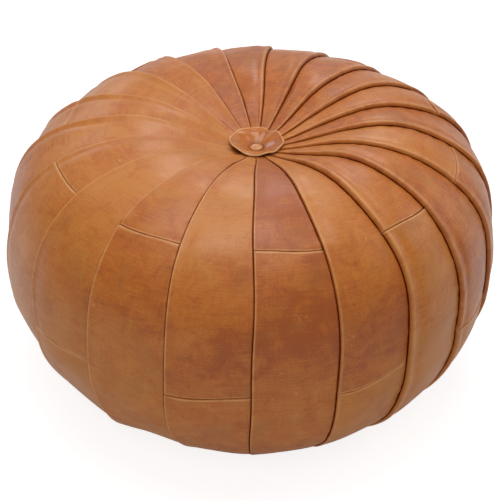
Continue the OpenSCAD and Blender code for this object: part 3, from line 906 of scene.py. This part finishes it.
class POUF_OT_medallion(bpy.types.Operator):
    """Model the dished medallion with its wavy raw edge"""

    bl_idname = "pouf.medallion"
    bl_label = "Medallion"

    def execute(self, context):
        shape, colours = context.scene.pouf_shape, context.scene.pouf_colours
        low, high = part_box("medallion")
        centre, rim = middle(low.x, high.x)
        slope = float((Outline.crown(shape, rim) - Outline.crown(shape, shape.tip)) / (rim - shape.tip))

        share = np.concatenate([np.linspace(0, 0.9, 16), [0.94, 0.97, 0.99, 1.0]])
        f, a = np.meshgrid(share, np.linspace(0, math.tau, 181), indexing="ij")
        lift = sum(
            amount * MM * hump(turned(a, at), math.radians(spread)) for at, amount, spread in RIM_LOBES)
        fold = hump(turned(a, FOLD_ANGLE), math.radians(8))
        flanks = sum(hump(turned(a, FOLD_ANGLE + side), math.radians(9)) for side in (-17, 17))
        edge = rim * (0.98 + 0.016 * np.cos(8 * a + 0.9) + 0.012 * np.cos(3 * a + 1.0) - 0.05 * fold)
        r = DISC_HOLE + (edge - DISC_HOLE) * f
        z = high.z - 0.2 * MM - slope * (rim - r) - DISC_DISH * np.maximum(0, 1 - r / shape.tip) ** 1.2
        z = z + lift * f ** 2.5 - 0.6 * MM * fold * f + 0.9 * MM * flanks * f ** 1.5
        z = z + 0.28 * MM * wander(r * np.sin(a), r * np.cos(a), 12 * MM, 5) * f * (1 - f) * 4
        hide = np.stack([r * np.sin(a), r * np.cos(a)], -1) + DISC_CUT
        marks = {
            "tone": 0.01 - 0.09 * hump(turned(a, 80), 0.9),
            # Rubbed and painted highlight: a pale rim and a pale line beside the fold
            "wear": np.clip(rising(f, 0.93, 0.04) + 0.6 * hump(turned(a, FOLD_ANGLE - 6), 0.07) * f, 0, 1),
            # Painted shade: along the fold and in a ring round the button
            "crease": 0.4 * hump(turned(a, FOLD_ANGLE + 3), 0.06) * f + 0.9 * hump(f, 0.2),
        }
        piece = grid_piece("medallion_leather", around(a, r, z, centre), hide, marks, closed=False)
        for finish in (leather("medallion_leather", colours, 0.2), cut_leather(colours)):
            piece.data.materials.append(finish)
        for face in piece.data.polygons:
            x, y, _ = face.center
            face.material_index = int(math.hypot(x - centre, y) > RAW_EDGE * rim)
        apply_modifier(piece, "SOLIDIFY", thickness=DISC_THICKNESS, offset=-1, material_offset_rim=1)
        round_edges(piece, 0.4 * MM, 50)
        piece.data.shade_smooth()
        dress(piece, "medallion", "medallion_leather")
        return {"FINISHED"}


class POUF_OT_button(bpy.types.Operator):
    """Model the covered button"""

    bl_idname = "pouf.button"
    bl_label = "Covered button"

    def execute(self, context):
        low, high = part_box("button_cap")
        centre, radius = middle(low.x, high.x)
        bottom, rise = low.z - 0.5 * MM, 0.46 * (high.z - low.z)
        turn = np.linspace(0, math.pi / 2, 15)
        r_profile = np.concatenate([[0.5 * radius, 0.97 * radius], radius * np.cos(turn) ** 0.6])
        z_profile = np.concatenate([[0, 0], rise * np.sin(turn) ** 0.9])
        angles = np.linspace(0, math.tau, 73)
        r, a = np.meshgrid(r_profile, angles, indexing="ij")
        z = np.repeat(z_profile[:, None], angles.size, 1)
        r = r * (1 - 0.012 * hump(z / rise, 0.5) * np.cos(BUTTON_PLEATS * a))
        z = bottom + z - 0.5 * MM * hump(r / radius - 0.35, 0.14)
        x, y = r * np.cos(a), r * np.sin(a)
        marks = {
            "tone": 0.08,
            # A pale ring on the dome: rubbed, and a painted highlight
            "wear": 0.45 * hump(r / radius - 0.8, 0.15),
            # Painted shade low on the dome's side
            "crease": 0.85 * hump((z - bottom) / rise, 0.45),
        }
        hide = np.stack([x, y], -1) + BUTTON_CUT
        piece = grid_piece("button_leather", np.stack([centre + x, y, z], -1), hide, marks)
        finish = leather("button_leather", context.scene.pouf_colours, 0.24)
        dress(piece, "button_cap", "button_leather", finish)
        return {"FINISHED"}


# Base, zip and stuffing

STITCH = 3.2 * MM
STITCH_PITCH = 4.2 * MM
STITCH_BOW = 0.3 * MM
THREAD = 0.9 * MM
# The hem beside the zip: its width, how far it stands out, its two rows of stitches and where they end
HEM = 13 * MM
HEM_SINK = 0.7 * MM
HEM_ROWS = (3.5 * MM, 10 * MM)
HEM_END = 7 * MM
# Stitches round the rim: how far in they lie
RIM_ROW = 5 * MM
# The leather tab over each end of the zip: where it starts, how far its end lies inside the base's rim, its
# half width, thickness and stitches
TAB_START = 103 * MM
TAB_INSET = 1.2 * MM
TAB_HALF = 14 * MM
TAB_THICK = 1.3 * MM
TAB_ROW = 2.2 * MM
TAB_STITCHES = 6
# Where the tabs and the base's two sides are cut from the hide, in metres
TAB_CUT = 8
UNDERSIDE_CUT = (6, 2)
INSIDE_CUT = (6, 4)


def repaint(solids, material):
    """Gives carried-over CAD solids a finish."""
    for name in solids:
        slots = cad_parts[name].data.materials
        slots.clear()
        slots.append(material)


def softened(name, body, width, material):
    """A copy of a cast metal solid with its sharp edges rounded."""
    piece = bpy.data.objects.new(name + "_cast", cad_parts[name].data.copy())
    bpy.context.scene.collection.objects.link(piece)
    bpy.ops.object.select_all(action="DESELECT")
    piece.select_set(True)
    bpy.context.view_layer.objects.active = piece
    bpy.ops.object.mode_set(mode="EDIT")
    bpy.ops.mesh.select_all(action="SELECT")
    bpy.ops.mesh.remove_doubles(threshold=MERGE)
    bpy.ops.mesh.dissolve_limited(angle_limit=math.radians(1))
    bpy.ops.object.mode_set(mode="OBJECT")
    bpy.ops.mesh.customdata_custom_splitnormals_clear()
    round_edges(piece, width, 40)
    bpy.ops.object.shade_smooth_by_angle(angle=math.radians(35))
    piece.data.materials.clear()
    dress(piece, name, "zip_brass", material, body=body)


def stitch_row(name, places, material):
    """Sewn stitches: one waxed thread stitch, modelled once and copied to each place and direction."""
    piece = add(bpy.ops.mesh.primitive_uv_sphere_add, name, segments=6, ring_count=4, radius=1)
    with editing(piece.data) as bm:
        stitch, faces = bm.verts[:], bm.faces[:]
        for place, direction in places:
            copy = bmesh.ops.duplicate(bm, geom=stitch + faces)
            along = np.array([math.cos(direction), math.sin(direction), 0])
            side = np.array([-along[1], along[0], 0])
            for vert in (v for v in copy["geom"] if isinstance(v, bmesh.types.BMVert)):
                x, y, z = vert.co.z, vert.co.y, vert.co.x
                up = np.array([0, 0, z * THREAD / 2 - STITCH_BOW * (1 - x * x)])
                vert.co = np.array(place) + along * x * STITCH / 2 + side * y * THREAD / 2 + up
        bmesh.ops.delete(bm, geom=stitch, context="VERTS")
        bmesh.ops.recalc_face_normals(bm, faces=bm.faces)
    piece.data.shade_smooth()
    dress(piece, None, "cotton_cord", material)


class POUF_OT_base(bpy.types.Operator):
    """Model the two halves of the base with a turned hem at the zip, and sew them"""

    bl_idname = "pouf.base"
    bl_label = "Base leather"

    def execute(self, context):
        colours = context.scene.pouf_colours
        finish = leather("base_leather", colours, 0.5)
        thread = woven("waxed_thread", colours.calico, 0.5, 0.6)
        places = []
        for side, name in ((-1, "base_half_front"), (1, "base_half_back")):
            low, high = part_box(name)
            slot, radius = sorted((abs(low.y), abs(high.y)))
            self.half(side, name, slot, radius, low.z, high.z, finish)
            places += self.stitches(side, slot, radius, low.z)
        for side, name in ((-1, "zip_tab_left"), (1, "zip_tab_right")):
            places += self.tab(side, name, finish)
        stitch_row("base_stitches", places, thread)
        return {"FINISHED"}

    def stitches(self, side, slot, radius, bottom):
        """Places and directions of the stitches in one half's hem and rim."""
        places = []
        for row in HEM_ROWS:
            y = slot + row
            half = math.sqrt(radius ** 2 - y ** 2) - HEM_END
            count = int(2 * half / STITCH_PITCH)
            places += [((x, side * y, bottom - HEM_SINK), 0.0) for x in np.linspace(-half, half, count)]
        rim = radius - RIM_ROW
        start = math.asin((slot + HEM) / rim)
        count = int(rim * (math.pi - 2 * start) / STITCH_PITCH)
        for a in np.linspace(start, math.pi - start, count):
            place = rim * math.cos(a), side * rim * math.sin(a), bottom - 0.1 * MM
            places.append((place, side * (a + math.pi / 2)))
        return places

    def tab(self, side, name, finish):
        """A small leather tab sewn over one end of the zip, and the places of its stitches."""
        low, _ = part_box("base_half_front")
        rim, top = abs(low.y) - TAB_INSET, low.z - HEM_SINK
        bottom = top - TAB_THICK
        centre, width = middle(TAB_START, rim)
        piece = add(bpy.ops.mesh.primitive_cube_add, name, size=1,
                    location=(side * centre, 0, top - TAB_THICK / 2))
        piece.scale = (2 * width, 2 * TAB_HALF, TAB_THICK)
        bpy.ops.object.transform_apply(location=True, rotation=True, scale=True)
        bpy.ops.object.mode_set(mode="EDIT")
        bpy.ops.mesh.select_all(action="SELECT")
        bpy.ops.mesh.subdivide(number_cuts=9)
        bpy.ops.object.mode_set(mode="OBJECT")
        round_edges(piece, 0.45 * MM, 30)

        points = np.array([v.co for v in piece.data.vertices])
        beside, from_centre = np.abs(points[:, 1]), points[:, 0] - side * centre
        corner = np.clip((beside / TAB_HALF - 0.8) / 0.2, 0, 1) ** 2 * 2.5 * MM
        outwards = np.sqrt(rim ** 2 - beside ** 2) - rim - 0.5 * corner
        points[:, 0] = side * centre + from_centre * (
            1 + np.where(side * from_centre > 0, outwards, -corner) / width)
        sewn_in = 0.3 * MM * hump(beside - TAB_HALF / 2, 3 * MM)
        points[:, 2] += sewn_in * (points[:, 2] < top - TAB_THICK / 2)
        marks = {"tone": -0.05, "wear": 0.0, "crease": 0.0}
        place_points(piece.data, points, points[:, :2] + TAB_CUT, marks)
        piece.data.shade_smooth()
        dress(piece, None, "base_leather", finish)
        reach = TAB_HALF - 3 * MM
        return [((side * x, y, bottom), math.pi / 2) for x in (TAB_START + TAB_ROW, rim - TAB_ROW)
                for y in np.linspace(-reach, reach, TAB_STITCHES)]

    def half(self, side, name, slot, radius, bottom, top, finish):
        """Half a disc of leather: a face that sags a little, a doubled hem at the slot and a rounded edge."""
        rows = np.concatenate([
            [0, 0.004, 0.012, 0.03, 0.06, 0.09, 0.108, 0.118, 0.13], np.linspace(0.17, 0.97, 22),
            [0.985, 0.994, 1.0],
        ])
        f, c = np.meshgrid(rows, np.linspace(-1, 1, 121), indexing="ij")
        from_slot = (radius - slot) * f
        y = slot + from_slot
        x = np.sqrt(np.maximum(radius ** 2 - y ** 2, 0)) * np.sin(c * math.pi / 2)
        from_rim = radius - np.hypot(x, y)
        rolled = np.sqrt(np.clip(1 - (1 - np.clip(from_slot / (1.2 * MM), 0, 1)) ** 2, 0, 1))
        rounded = np.sqrt(np.clip(from_rim / (1.0 * MM), 0, 1))
        body = np.minimum(rolled, rounded)
        wave = 0.22 * MM * wander(x, y, 50 * MM, 31 + side)
        wave = wave * rising(from_slot, 0, 20 * MM) * rising(from_rim, 0, 15 * MM)
        hem = HEM_SINK * (1 - rising(from_slot, HEM, 1.0 * MM))
        sewn = sum(hump(from_slot - row, 1.5 * MM) for row in HEM_ROWS)
        pucker = 0.14 * MM * np.cos(math.tau * x / STITCH_PITCH) * sewn
        level, _ = middle(bottom, top)
        under = level + (bottom - hem + wave + pucker - level) * body
        above = level + (top - 0.05 * MM - level) * body

        def ring(lower, upper):
            """Rows over the underside, back over the inside and round to the first."""
            return np.concatenate([lower, upper[::-1], lower[:1]])

        points = ring(np.stack([x, side * y, under], -1), np.stack([x, side * y, above], -1))
        flat = np.stack([x, y], -1)
        # Painted shade beside the hem and round the rim; rubbed along the hem's fold
        crease = 0.5 * hump(from_slot - HEM - 0.8 * MM, 0.9 * MM) + 0.3 * hump(from_rim, 3 * MM)
        wear = 0.6 * hump(from_slot, 1.2 * MM)
        marks = {"tone": -0.03, "wear": ring(wear, wear), "crease": np.clip(ring(crease, crease), 0, 1)}
        hide = ring(flat + UNDERSIDE_CUT, flat + INSIDE_CUT)
        piece = grid_piece(name.replace("base_half", "base_leather"), points, hide, marks)
        dress(piece, name, "base_leather", finish)


class POUF_OT_zip(bpy.types.Operator):
    """Model the woven tapes and round the metal of the zip"""

    bl_idname = "pouf.zip"
    bl_label = "Zip"

    # Section of a tape: shares of its width from the teeth, and of its half thickness
    TAPE_ACROSS = np.array([0, 0.012, 0.035, 0.07, 0.11, 0.15, 0.3, 0.5, 0.7, 0.85, 0.93, 0.97, 1.0])
    TAPE_THICK = np.array([0.3, 0.8, 1.0, 1.0, 0.85, 0.62, 0.6, 0.6, 0.6, 0.6, 0.75, 0.75, 0.3])
    # Cast metal: its body and the width of its rounded edges
    CASTINGS = {
        "zip_slider": ("slider", 0.3 * MM), "zip_pull": ("pull", 0.25 * MM),
        "zip_top_stops": (BODY, 0.3 * MM), "zip_bottom_stop": (BODY, 0.3 * MM),
    }

    def execute(self, context):
        colours = context.scene.pouf_colours
        cloth = woven("zip_tape_twill", colours.tape, 0.8)
        brass = antique_brass(colours)
        for side, name in ((-1, "zip_tape_front"), (1, "zip_tape_back")):
            self.tape(side, name, cloth)
        for name, (body, width) in self.CASTINGS.items():
            softened(name, body, width, brass)
        repaint(["zip_chain_front", "zip_chain_back", "button_back"], brass)
        return {"FINISHED"}

    def tape(self, side, name, cloth):
        """A flat woven tape with a corded edge beside the teeth and a soft selvedge."""
        low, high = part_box(name)
        near, far = sorted((abs(low.y), abs(high.y)))
        level, half = middle(low.z, high.z)
        across, thick = self.TAPE_ACROSS, self.TAPE_THICK
        loop_y = np.concatenate([across, across[::-1], across[:1]])
        loop_z = np.concatenate([thick, -thick[::-1], thick[:1]])
        along = np.concatenate([[0, 0.002], np.linspace(0.01, 0.99, 90), [0.998, 1.0]])
        a, y = np.meshgrid(along, loop_y, indexing="ij")
        z = level + half * loop_z * rising(np.minimum(a, 1 - a), 0, 0.004, 0.5)
        x = low.x + (high.x - low.x) * a
        piece = grid_piece(name + "_cloth", np.stack([x, side * (near + (far - near) * y), z], -1))
        dress(piece, name, "zip_tape", cloth)


class POUF_OT_stuffing(bpy.types.Operator):
    """Model the gathered liner, the wadding and the tuft cord inside"""

    bl_idname = "pouf.stuffing"
    bl_label = "Liner and stuffing"

    LINER = 1.0 * MM
    WADDING_DEPTH = 2.4 * MM
    # The bag's outline: how far it lies inside the leather, its bore and anchor seat, its steps beside the
    # tuft, the base and the seat, and its room over the slider and the anchor
    INSET = 5.04 * MM
    BORE = 5 * MM
    SEAT = 20 * MM
    TUFT_STEP = 8 * MM
    BASE_STEP = 8 * MM
    SEAT_STEP = 10 * MM
    SLIDER_ROOM = 0.75 * MM
    ANCHOR_ROOM = 0.3 * MM
    # The tuft cord: half its thickness, the height of its knot, the knot's size and the length of a twist
    CORD = 1.0 * MM
    KNOT_HEIGHT = 3.5 * MM
    KNOT_LOOP = 0.8 * MM
    KNOT_RISE = 1.4 * MM
    TWIST = 12 * MM
    STRANDS = 3

    def execute(self, context):
        scene = context.scene
        shape, colours, lip = scene.pouf_shape, scene.pouf_colours, scene.pouf_leather.lip
        calico = woven("calico", colours.calico, 1.2)
        cotton = woven("cotton_wadding", colours.calico, 6.0, 0.95)
        outer, inner, filled = (
            self.profile(shape, lip, depth) for depth in (0, self.LINER, self.WADDING_DEPTH))
        liner = self.bag("liner_bag", np.concatenate([outer, inner[::-1]]), 0.9 * MM, 34)
        dress(liner, "inner_liner", "liner_calico", calico)
        wadding = self.bag("wadding", filled, 2.0 * MM, 11)
        dress(wadding, "filling", "cotton_wadding", cotton)
        self.cord(calico)
        repaint(["anchor_disc"], turned_wood(colours))
        return {"FINISHED"}

    def profile(self, shape, lip, depth):
        """The stuffed bag's outline: from the tuft bore over the side to the floor and the anchor's seat."""
        line = Outline(shape)
        s = np.linspace(0, line.base_s, 41)
        r, z, nr, nz, lean = line.at(s)
        lip = lip * rising(s, 0, 90 * MM, 0.3) * falling(s, line.foot_s - 15 * MM, 110 * MM)
        inset = lip + self.INSET + depth + lean * np.abs(nr)
        bore, seat = self.BORE + shape.tuft, self.SEAT + shape.tuft
        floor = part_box("zip_slider")[1].z + self.SLIDER_ROOM + depth
        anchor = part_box("anchor_disc")[1].z + self.ANCHOR_ROOM + depth
        top = z[0] - inset[0] - self.TUFT_STEP
        under = [shape.base - self.BASE_STEP, seat + self.SEAT_STEP, seat, bore]
        r = np.concatenate([[bore], r - nr * inset, under])
        z = np.concatenate([[top], z - nz * inset, [floor, floor, anchor, anchor]])
        run = running(np.diff(r), np.diff(z))
        even = np.linspace(0, run[-1], 96)
        return np.stack([np.interp(even, run, r), np.interp(even, run, z)], -1)

    def bag(self, name, loop, depth, gathers):
        """A cloth bag turned about the bore, gathered at the tuft and round the foot."""
        loop = np.concatenate([loop, loop[:1]])
        angles = np.linspace(0, math.tau, 145)
        r, a = np.meshgrid(loop[:, 0], angles, indexing="ij")
        z = np.repeat(loop[:, 1:], angles.size, 1)
        gathered = np.minimum(rising(z, 240 * MM, 50 * MM) + falling(z, 90 * MM, 50 * MM), 1)
        fold = 0.5 + 0.5 * np.cos(gathers * a + 2 * wander(a, 8 * z, 1.4, gathers))
        r = r - depth * fold * gathered * rising(r, 30 * MM, 50 * MM) * (z > 20 * MM)
        return grid_piece(name, np.stack([r * np.cos(a), r * np.sin(a), z], -1))

    def cord(self, cotton):
        """The taut doubled cord: up one side, through the button's eye and down to the knot by the disc."""
        low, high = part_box("tuft_cord")
        x, _ = middle(low.x, high.x)
        reach = high.y - self.CORD
        knot, turn = low.z + self.KNOT_HEIGHT, high.z - reach - self.CORD
        leg = np.linspace(knot, turn, 100)
        arch = np.linspace(0, math.pi, 13)[1:-1]
        y = np.concatenate([np.full(leg.size, -reach), -reach * np.cos(arch), np.full(leg.size, reach)])
        z = np.concatenate([leg, turn + reach * np.sin(arch), leg[::-1]])
        legs = self.twisted("tuft_legs", np.stack([np.full(y.size, x), y, z], -1), self.CORD)
        t = np.linspace(0, math.tau, 97)
        loop = np.stack([
            x + self.KNOT_LOOP * (np.sin(t) + 2 * np.sin(2 * t)),
            self.KNOT_LOOP * (np.cos(t) - 2 * np.cos(2 * t)),
            knot - self.KNOT_RISE * np.sin(3 * t),
        ], -1)
        tied = self.twisted("tuft_knot", loop, 0.95 * self.CORD)
        bpy.ops.object.select_all(action="DESELECT")
        tied.select_set(True)
        legs.select_set(True)
        bpy.context.view_layer.objects.active = legs
        bpy.ops.object.join()
        legs.name = legs.data.name = "tuft_string"
        dress(legs, "tuft_cord", "cotton_cord", cotton)

    def twisted(self, name, path, thick):
        """A twisted cord along a path."""
        along = np.gradient(path, axis=0)
        along /= np.linalg.norm(along, axis=1)[:, None]
        side = np.zeros(path.shape)
        side[0] = np.cross(along[0], [1, 0.2, 0.1])
        for i in range(1, len(path)):
            side[i] = side[i - 1] - along[i] * np.dot(side[i - 1], along[i])
        side /= np.linalg.norm(side, axis=1)[:, None]
        other = np.cross(along, side)
        run = running(*np.diff(path, axis=0).T)[:, None]
        turn = np.linspace(0, math.tau, 13)[None, :]
        width = thick * (0.92 + 0.08 * np.cos(self.STRANDS * (turn - math.tau * run / self.TWIST)))
        across, up = ((width * share)[..., None] for share in (np.cos(turn), np.sin(turn)))
        return grid_piece(name, path[:, None] + across * side[:, None] + up * other[:, None])


# Stage

# Soft square lamps: place, point they light and size in metres, power in watts, and whether gloss shows them
LAMPS = {
    "lamp_over": ((-0.03, -0.05, 1.9), (0, 0, 0.2), 1.1, 13.5, True),
    "lamp_back": ((0.25, 1.7, 1.7), (0, 0, 0.25), 0.5, 6.3, True),
    "lamp_front": ((-0.35, -2.0, 2.0), (0, 0, 0.1), 1.8, 18.6, False),
    "lamp_right": ((1.5, 0.4, 1.0), (0.1, 0, 0.15), 0.9, 2.9, True),
    "lamp_left": ((-0.9, 1.7, 1.0), (-0.1, 0, 0.2), 0.5, 2.0, True),
}
WHITE = (1, 1, 1, 1)
FLOOR_SIZE = 40
# Share of the floor's own light that the camera and gloss see, and its strength
FLOOR_SHARE = 0.55
FLOOR_GLOW = 1.5
# Strength of the surround, and as gloss sees it in front of and behind the pouf
SURROUND = 0.2
FRONT_GLOSS = 0.06
BACK_GLOSS = 0.56
SENSOR = 36


class POUF_OT_stage(bpy.types.Operator):
    """Set the floor, lamps, surround and camera"""

    bl_idname = "pouf.stage"
    bl_label = "Stage"

    def execute(self, context):
        scene = context.scene
        scene.view_settings.view_transform = "Standard"
        self.floor(scene.pouf_colours)
        scene.world = self.surround()
        for name, values in LAMPS.items():
            self.lamp(name, *values)
        scene.camera = self.camera(scene.pouf_stage)
        return {"FINISHED"}

    def behind(self, tree, place, start, end):
        """How far a place or direction lies behind the pouf, from 0 to 1."""
        y = node(tree, "SeparateXYZ", {"Vector": place}, out="Y")
        return node(tree, "MapRange", {"Value": y, "From Min": start, "From Max": end},
                    interpolation_type="SMOOTHSTEP")

    def floor(self, colours):
        """Studio paper: matt and pale, bright to the camera, with the pouf's shadow on it, and dull in the
        gloss of the pouf's front."""
        floor = add(bpy.ops.mesh.primitive_plane_add, "floor", size=FLOOR_SIZE)
        material, tree, shader = new_material("white_paper")
        fill(tree, shader, {"Base Color": tuple(colours.paper), "Roughness": 1.0, "Specular IOR Level": 0.0})
        camera, gloss = (node(tree, "LightPath", out=ray) for ray in ("Is Camera Ray", "Is Glossy Ray"))
        place = node(tree, "TexCoord", out="Object")
        seen = node(tree, "Math", {0: camera, 1: gloss}, operation="MAXIMUM")
        share = node(tree, "Math", {0: seen, 1: FLOOR_SHARE}, operation="MULTIPLY")
        lit = node(tree, "Math", {0: camera, 1: self.behind(tree, place, -0.35, 0.2)}, operation="MAXIMUM")
        strength = node(tree, "Math", {0: lit, 1: FLOOR_GLOW}, operation="MULTIPLY")
        glow = node(tree, "Emission", {"Color": WHITE, "Strength": strength})
        mix = node(tree, "MixShader", {0: share, 1: shader.outputs["BSDF"], 2: glow})
        fill(tree, tree.nodes["Material Output"], {"Surface": mix})
        floor.data.materials.append(material)

    def surround(self):
        """A studio that is white to the camera and soft on the pouf, brighter behind it than in front."""
        world = bpy.data.worlds.new("studio")
        world.use_nodes = True
        tree = world.node_tree
        camera, gloss, glass = (
            node(tree, "LightPath", out=f"Is {ray} Ray") for ray in ("Camera", "Glossy", "Transmission"))
        direction = node(tree, "TexCoord", out="Generated")
        backdrop = node(tree, "Mix", {
            "Factor": self.behind(tree, direction, -0.08, 0.45), "A": FRONT_GLOSS, "B": BACK_GLOSS,
        })
        soft = node(tree, "Mix", {"Factor": gloss, "A": SURROUND, "B": backdrop})
        seen = node(tree, "Math", {0: camera, 1: glass}, operation="MAXIMUM")
        strength = node(tree, "Mix", {"Factor": seen, "A": soft, "B": 1.0})
        fill(tree, tree.nodes["Background"], {"Color": WHITE, "Strength": strength})
        return world

    def lamp(self, name, place, target, size, watts, in_gloss):
        """A soft square lamp aimed at a point."""
        lamp = add(bpy.ops.object.light_add, name, type="AREA", location=place)
        lamp.data.shape = "SQUARE"
        lamp.data.size = size
        lamp.data.energy = watts
        lamp.visible_camera = False
        lamp.visible_glossy = in_gloss
        x, y, z = np.array(target) - np.array(place)
        lamp.rotation_euler = (math.atan2(math.hypot(x, y), -z), 0, math.atan2(y, x) - math.pi / 2)

    def camera(self, stage):
        """A camera that looks at a point on the pouf's axis, with a little roll."""
        level, up = math.cos(stage.elevation) * stage.distance, math.sin(stage.elevation) * stage.distance
        camera = add(
            bpy.ops.object.camera_add, "camera",
            location=(level * math.sin(stage.azimuth), -level * math.cos(stage.azimuth), stage.target + up),
        )
        aim = Euler((math.pi / 2 - stage.elevation, 0, stage.azimuth)).to_matrix()
        camera.rotation_euler = (aim @ Matrix.Rotation(stage.roll, 3, "Z")).to_euler()
        camera.data.lens = stage.lens
        camera.data.sensor_width = SENSOR
        return camera


class POUF_PT_sidebar(bpy.types.Panel):
    """The steps that build the pouf"""

    bl_label = "Leather pouf"
    bl_idname = "POUF_PT_sidebar"
    bl_space_type = "VIEW_3D"
    bl_region_type = "UI"
    bl_category = "Pouf"

    def draw(self, context):
        for operator in OPERATORS:
            self.layout.operator(operator.bl_idname)


GROUPS = {
    "pouf_shape": PoufShape, "pouf_leather": LeatherDetail, "pouf_colours": PoufColours,
    "pouf_stage": PoufStage,
}
OPERATORS = [POUF_OT_stage, POUF_OT_panels, POUF_OT_medallion, POUF_OT_button, POUF_OT_base, POUF_OT_zip,
             POUF_OT_stuffing]
CLASSES = [*GROUPS.values(), *OPERATORS, POUF_PT_sidebar]


def register():
    for kind in CLASSES:
        bpy.utils.register_class(kind)
    for name, group in GROUPS.items():
        setattr(bpy.types.Scene, name, PointerProperty(type=group))


def unregister():
    for name in GROUPS:
        delattr(bpy.types.Scene, name)
    for kind in reversed(CLASSES):
        bpy.utils.unregister_class(kind)


def main():
    register()
    for step in (bpy.ops.pouf.stage, bpy.ops.pouf.panels, bpy.ops.pouf.medallion, bpy.ops.pouf.button,
                 bpy.ops.pouf.base, bpy.ops.pouf.zip, bpy.ops.pouf.stuffing):
        step()


if __name__ == "__main__":
    main()
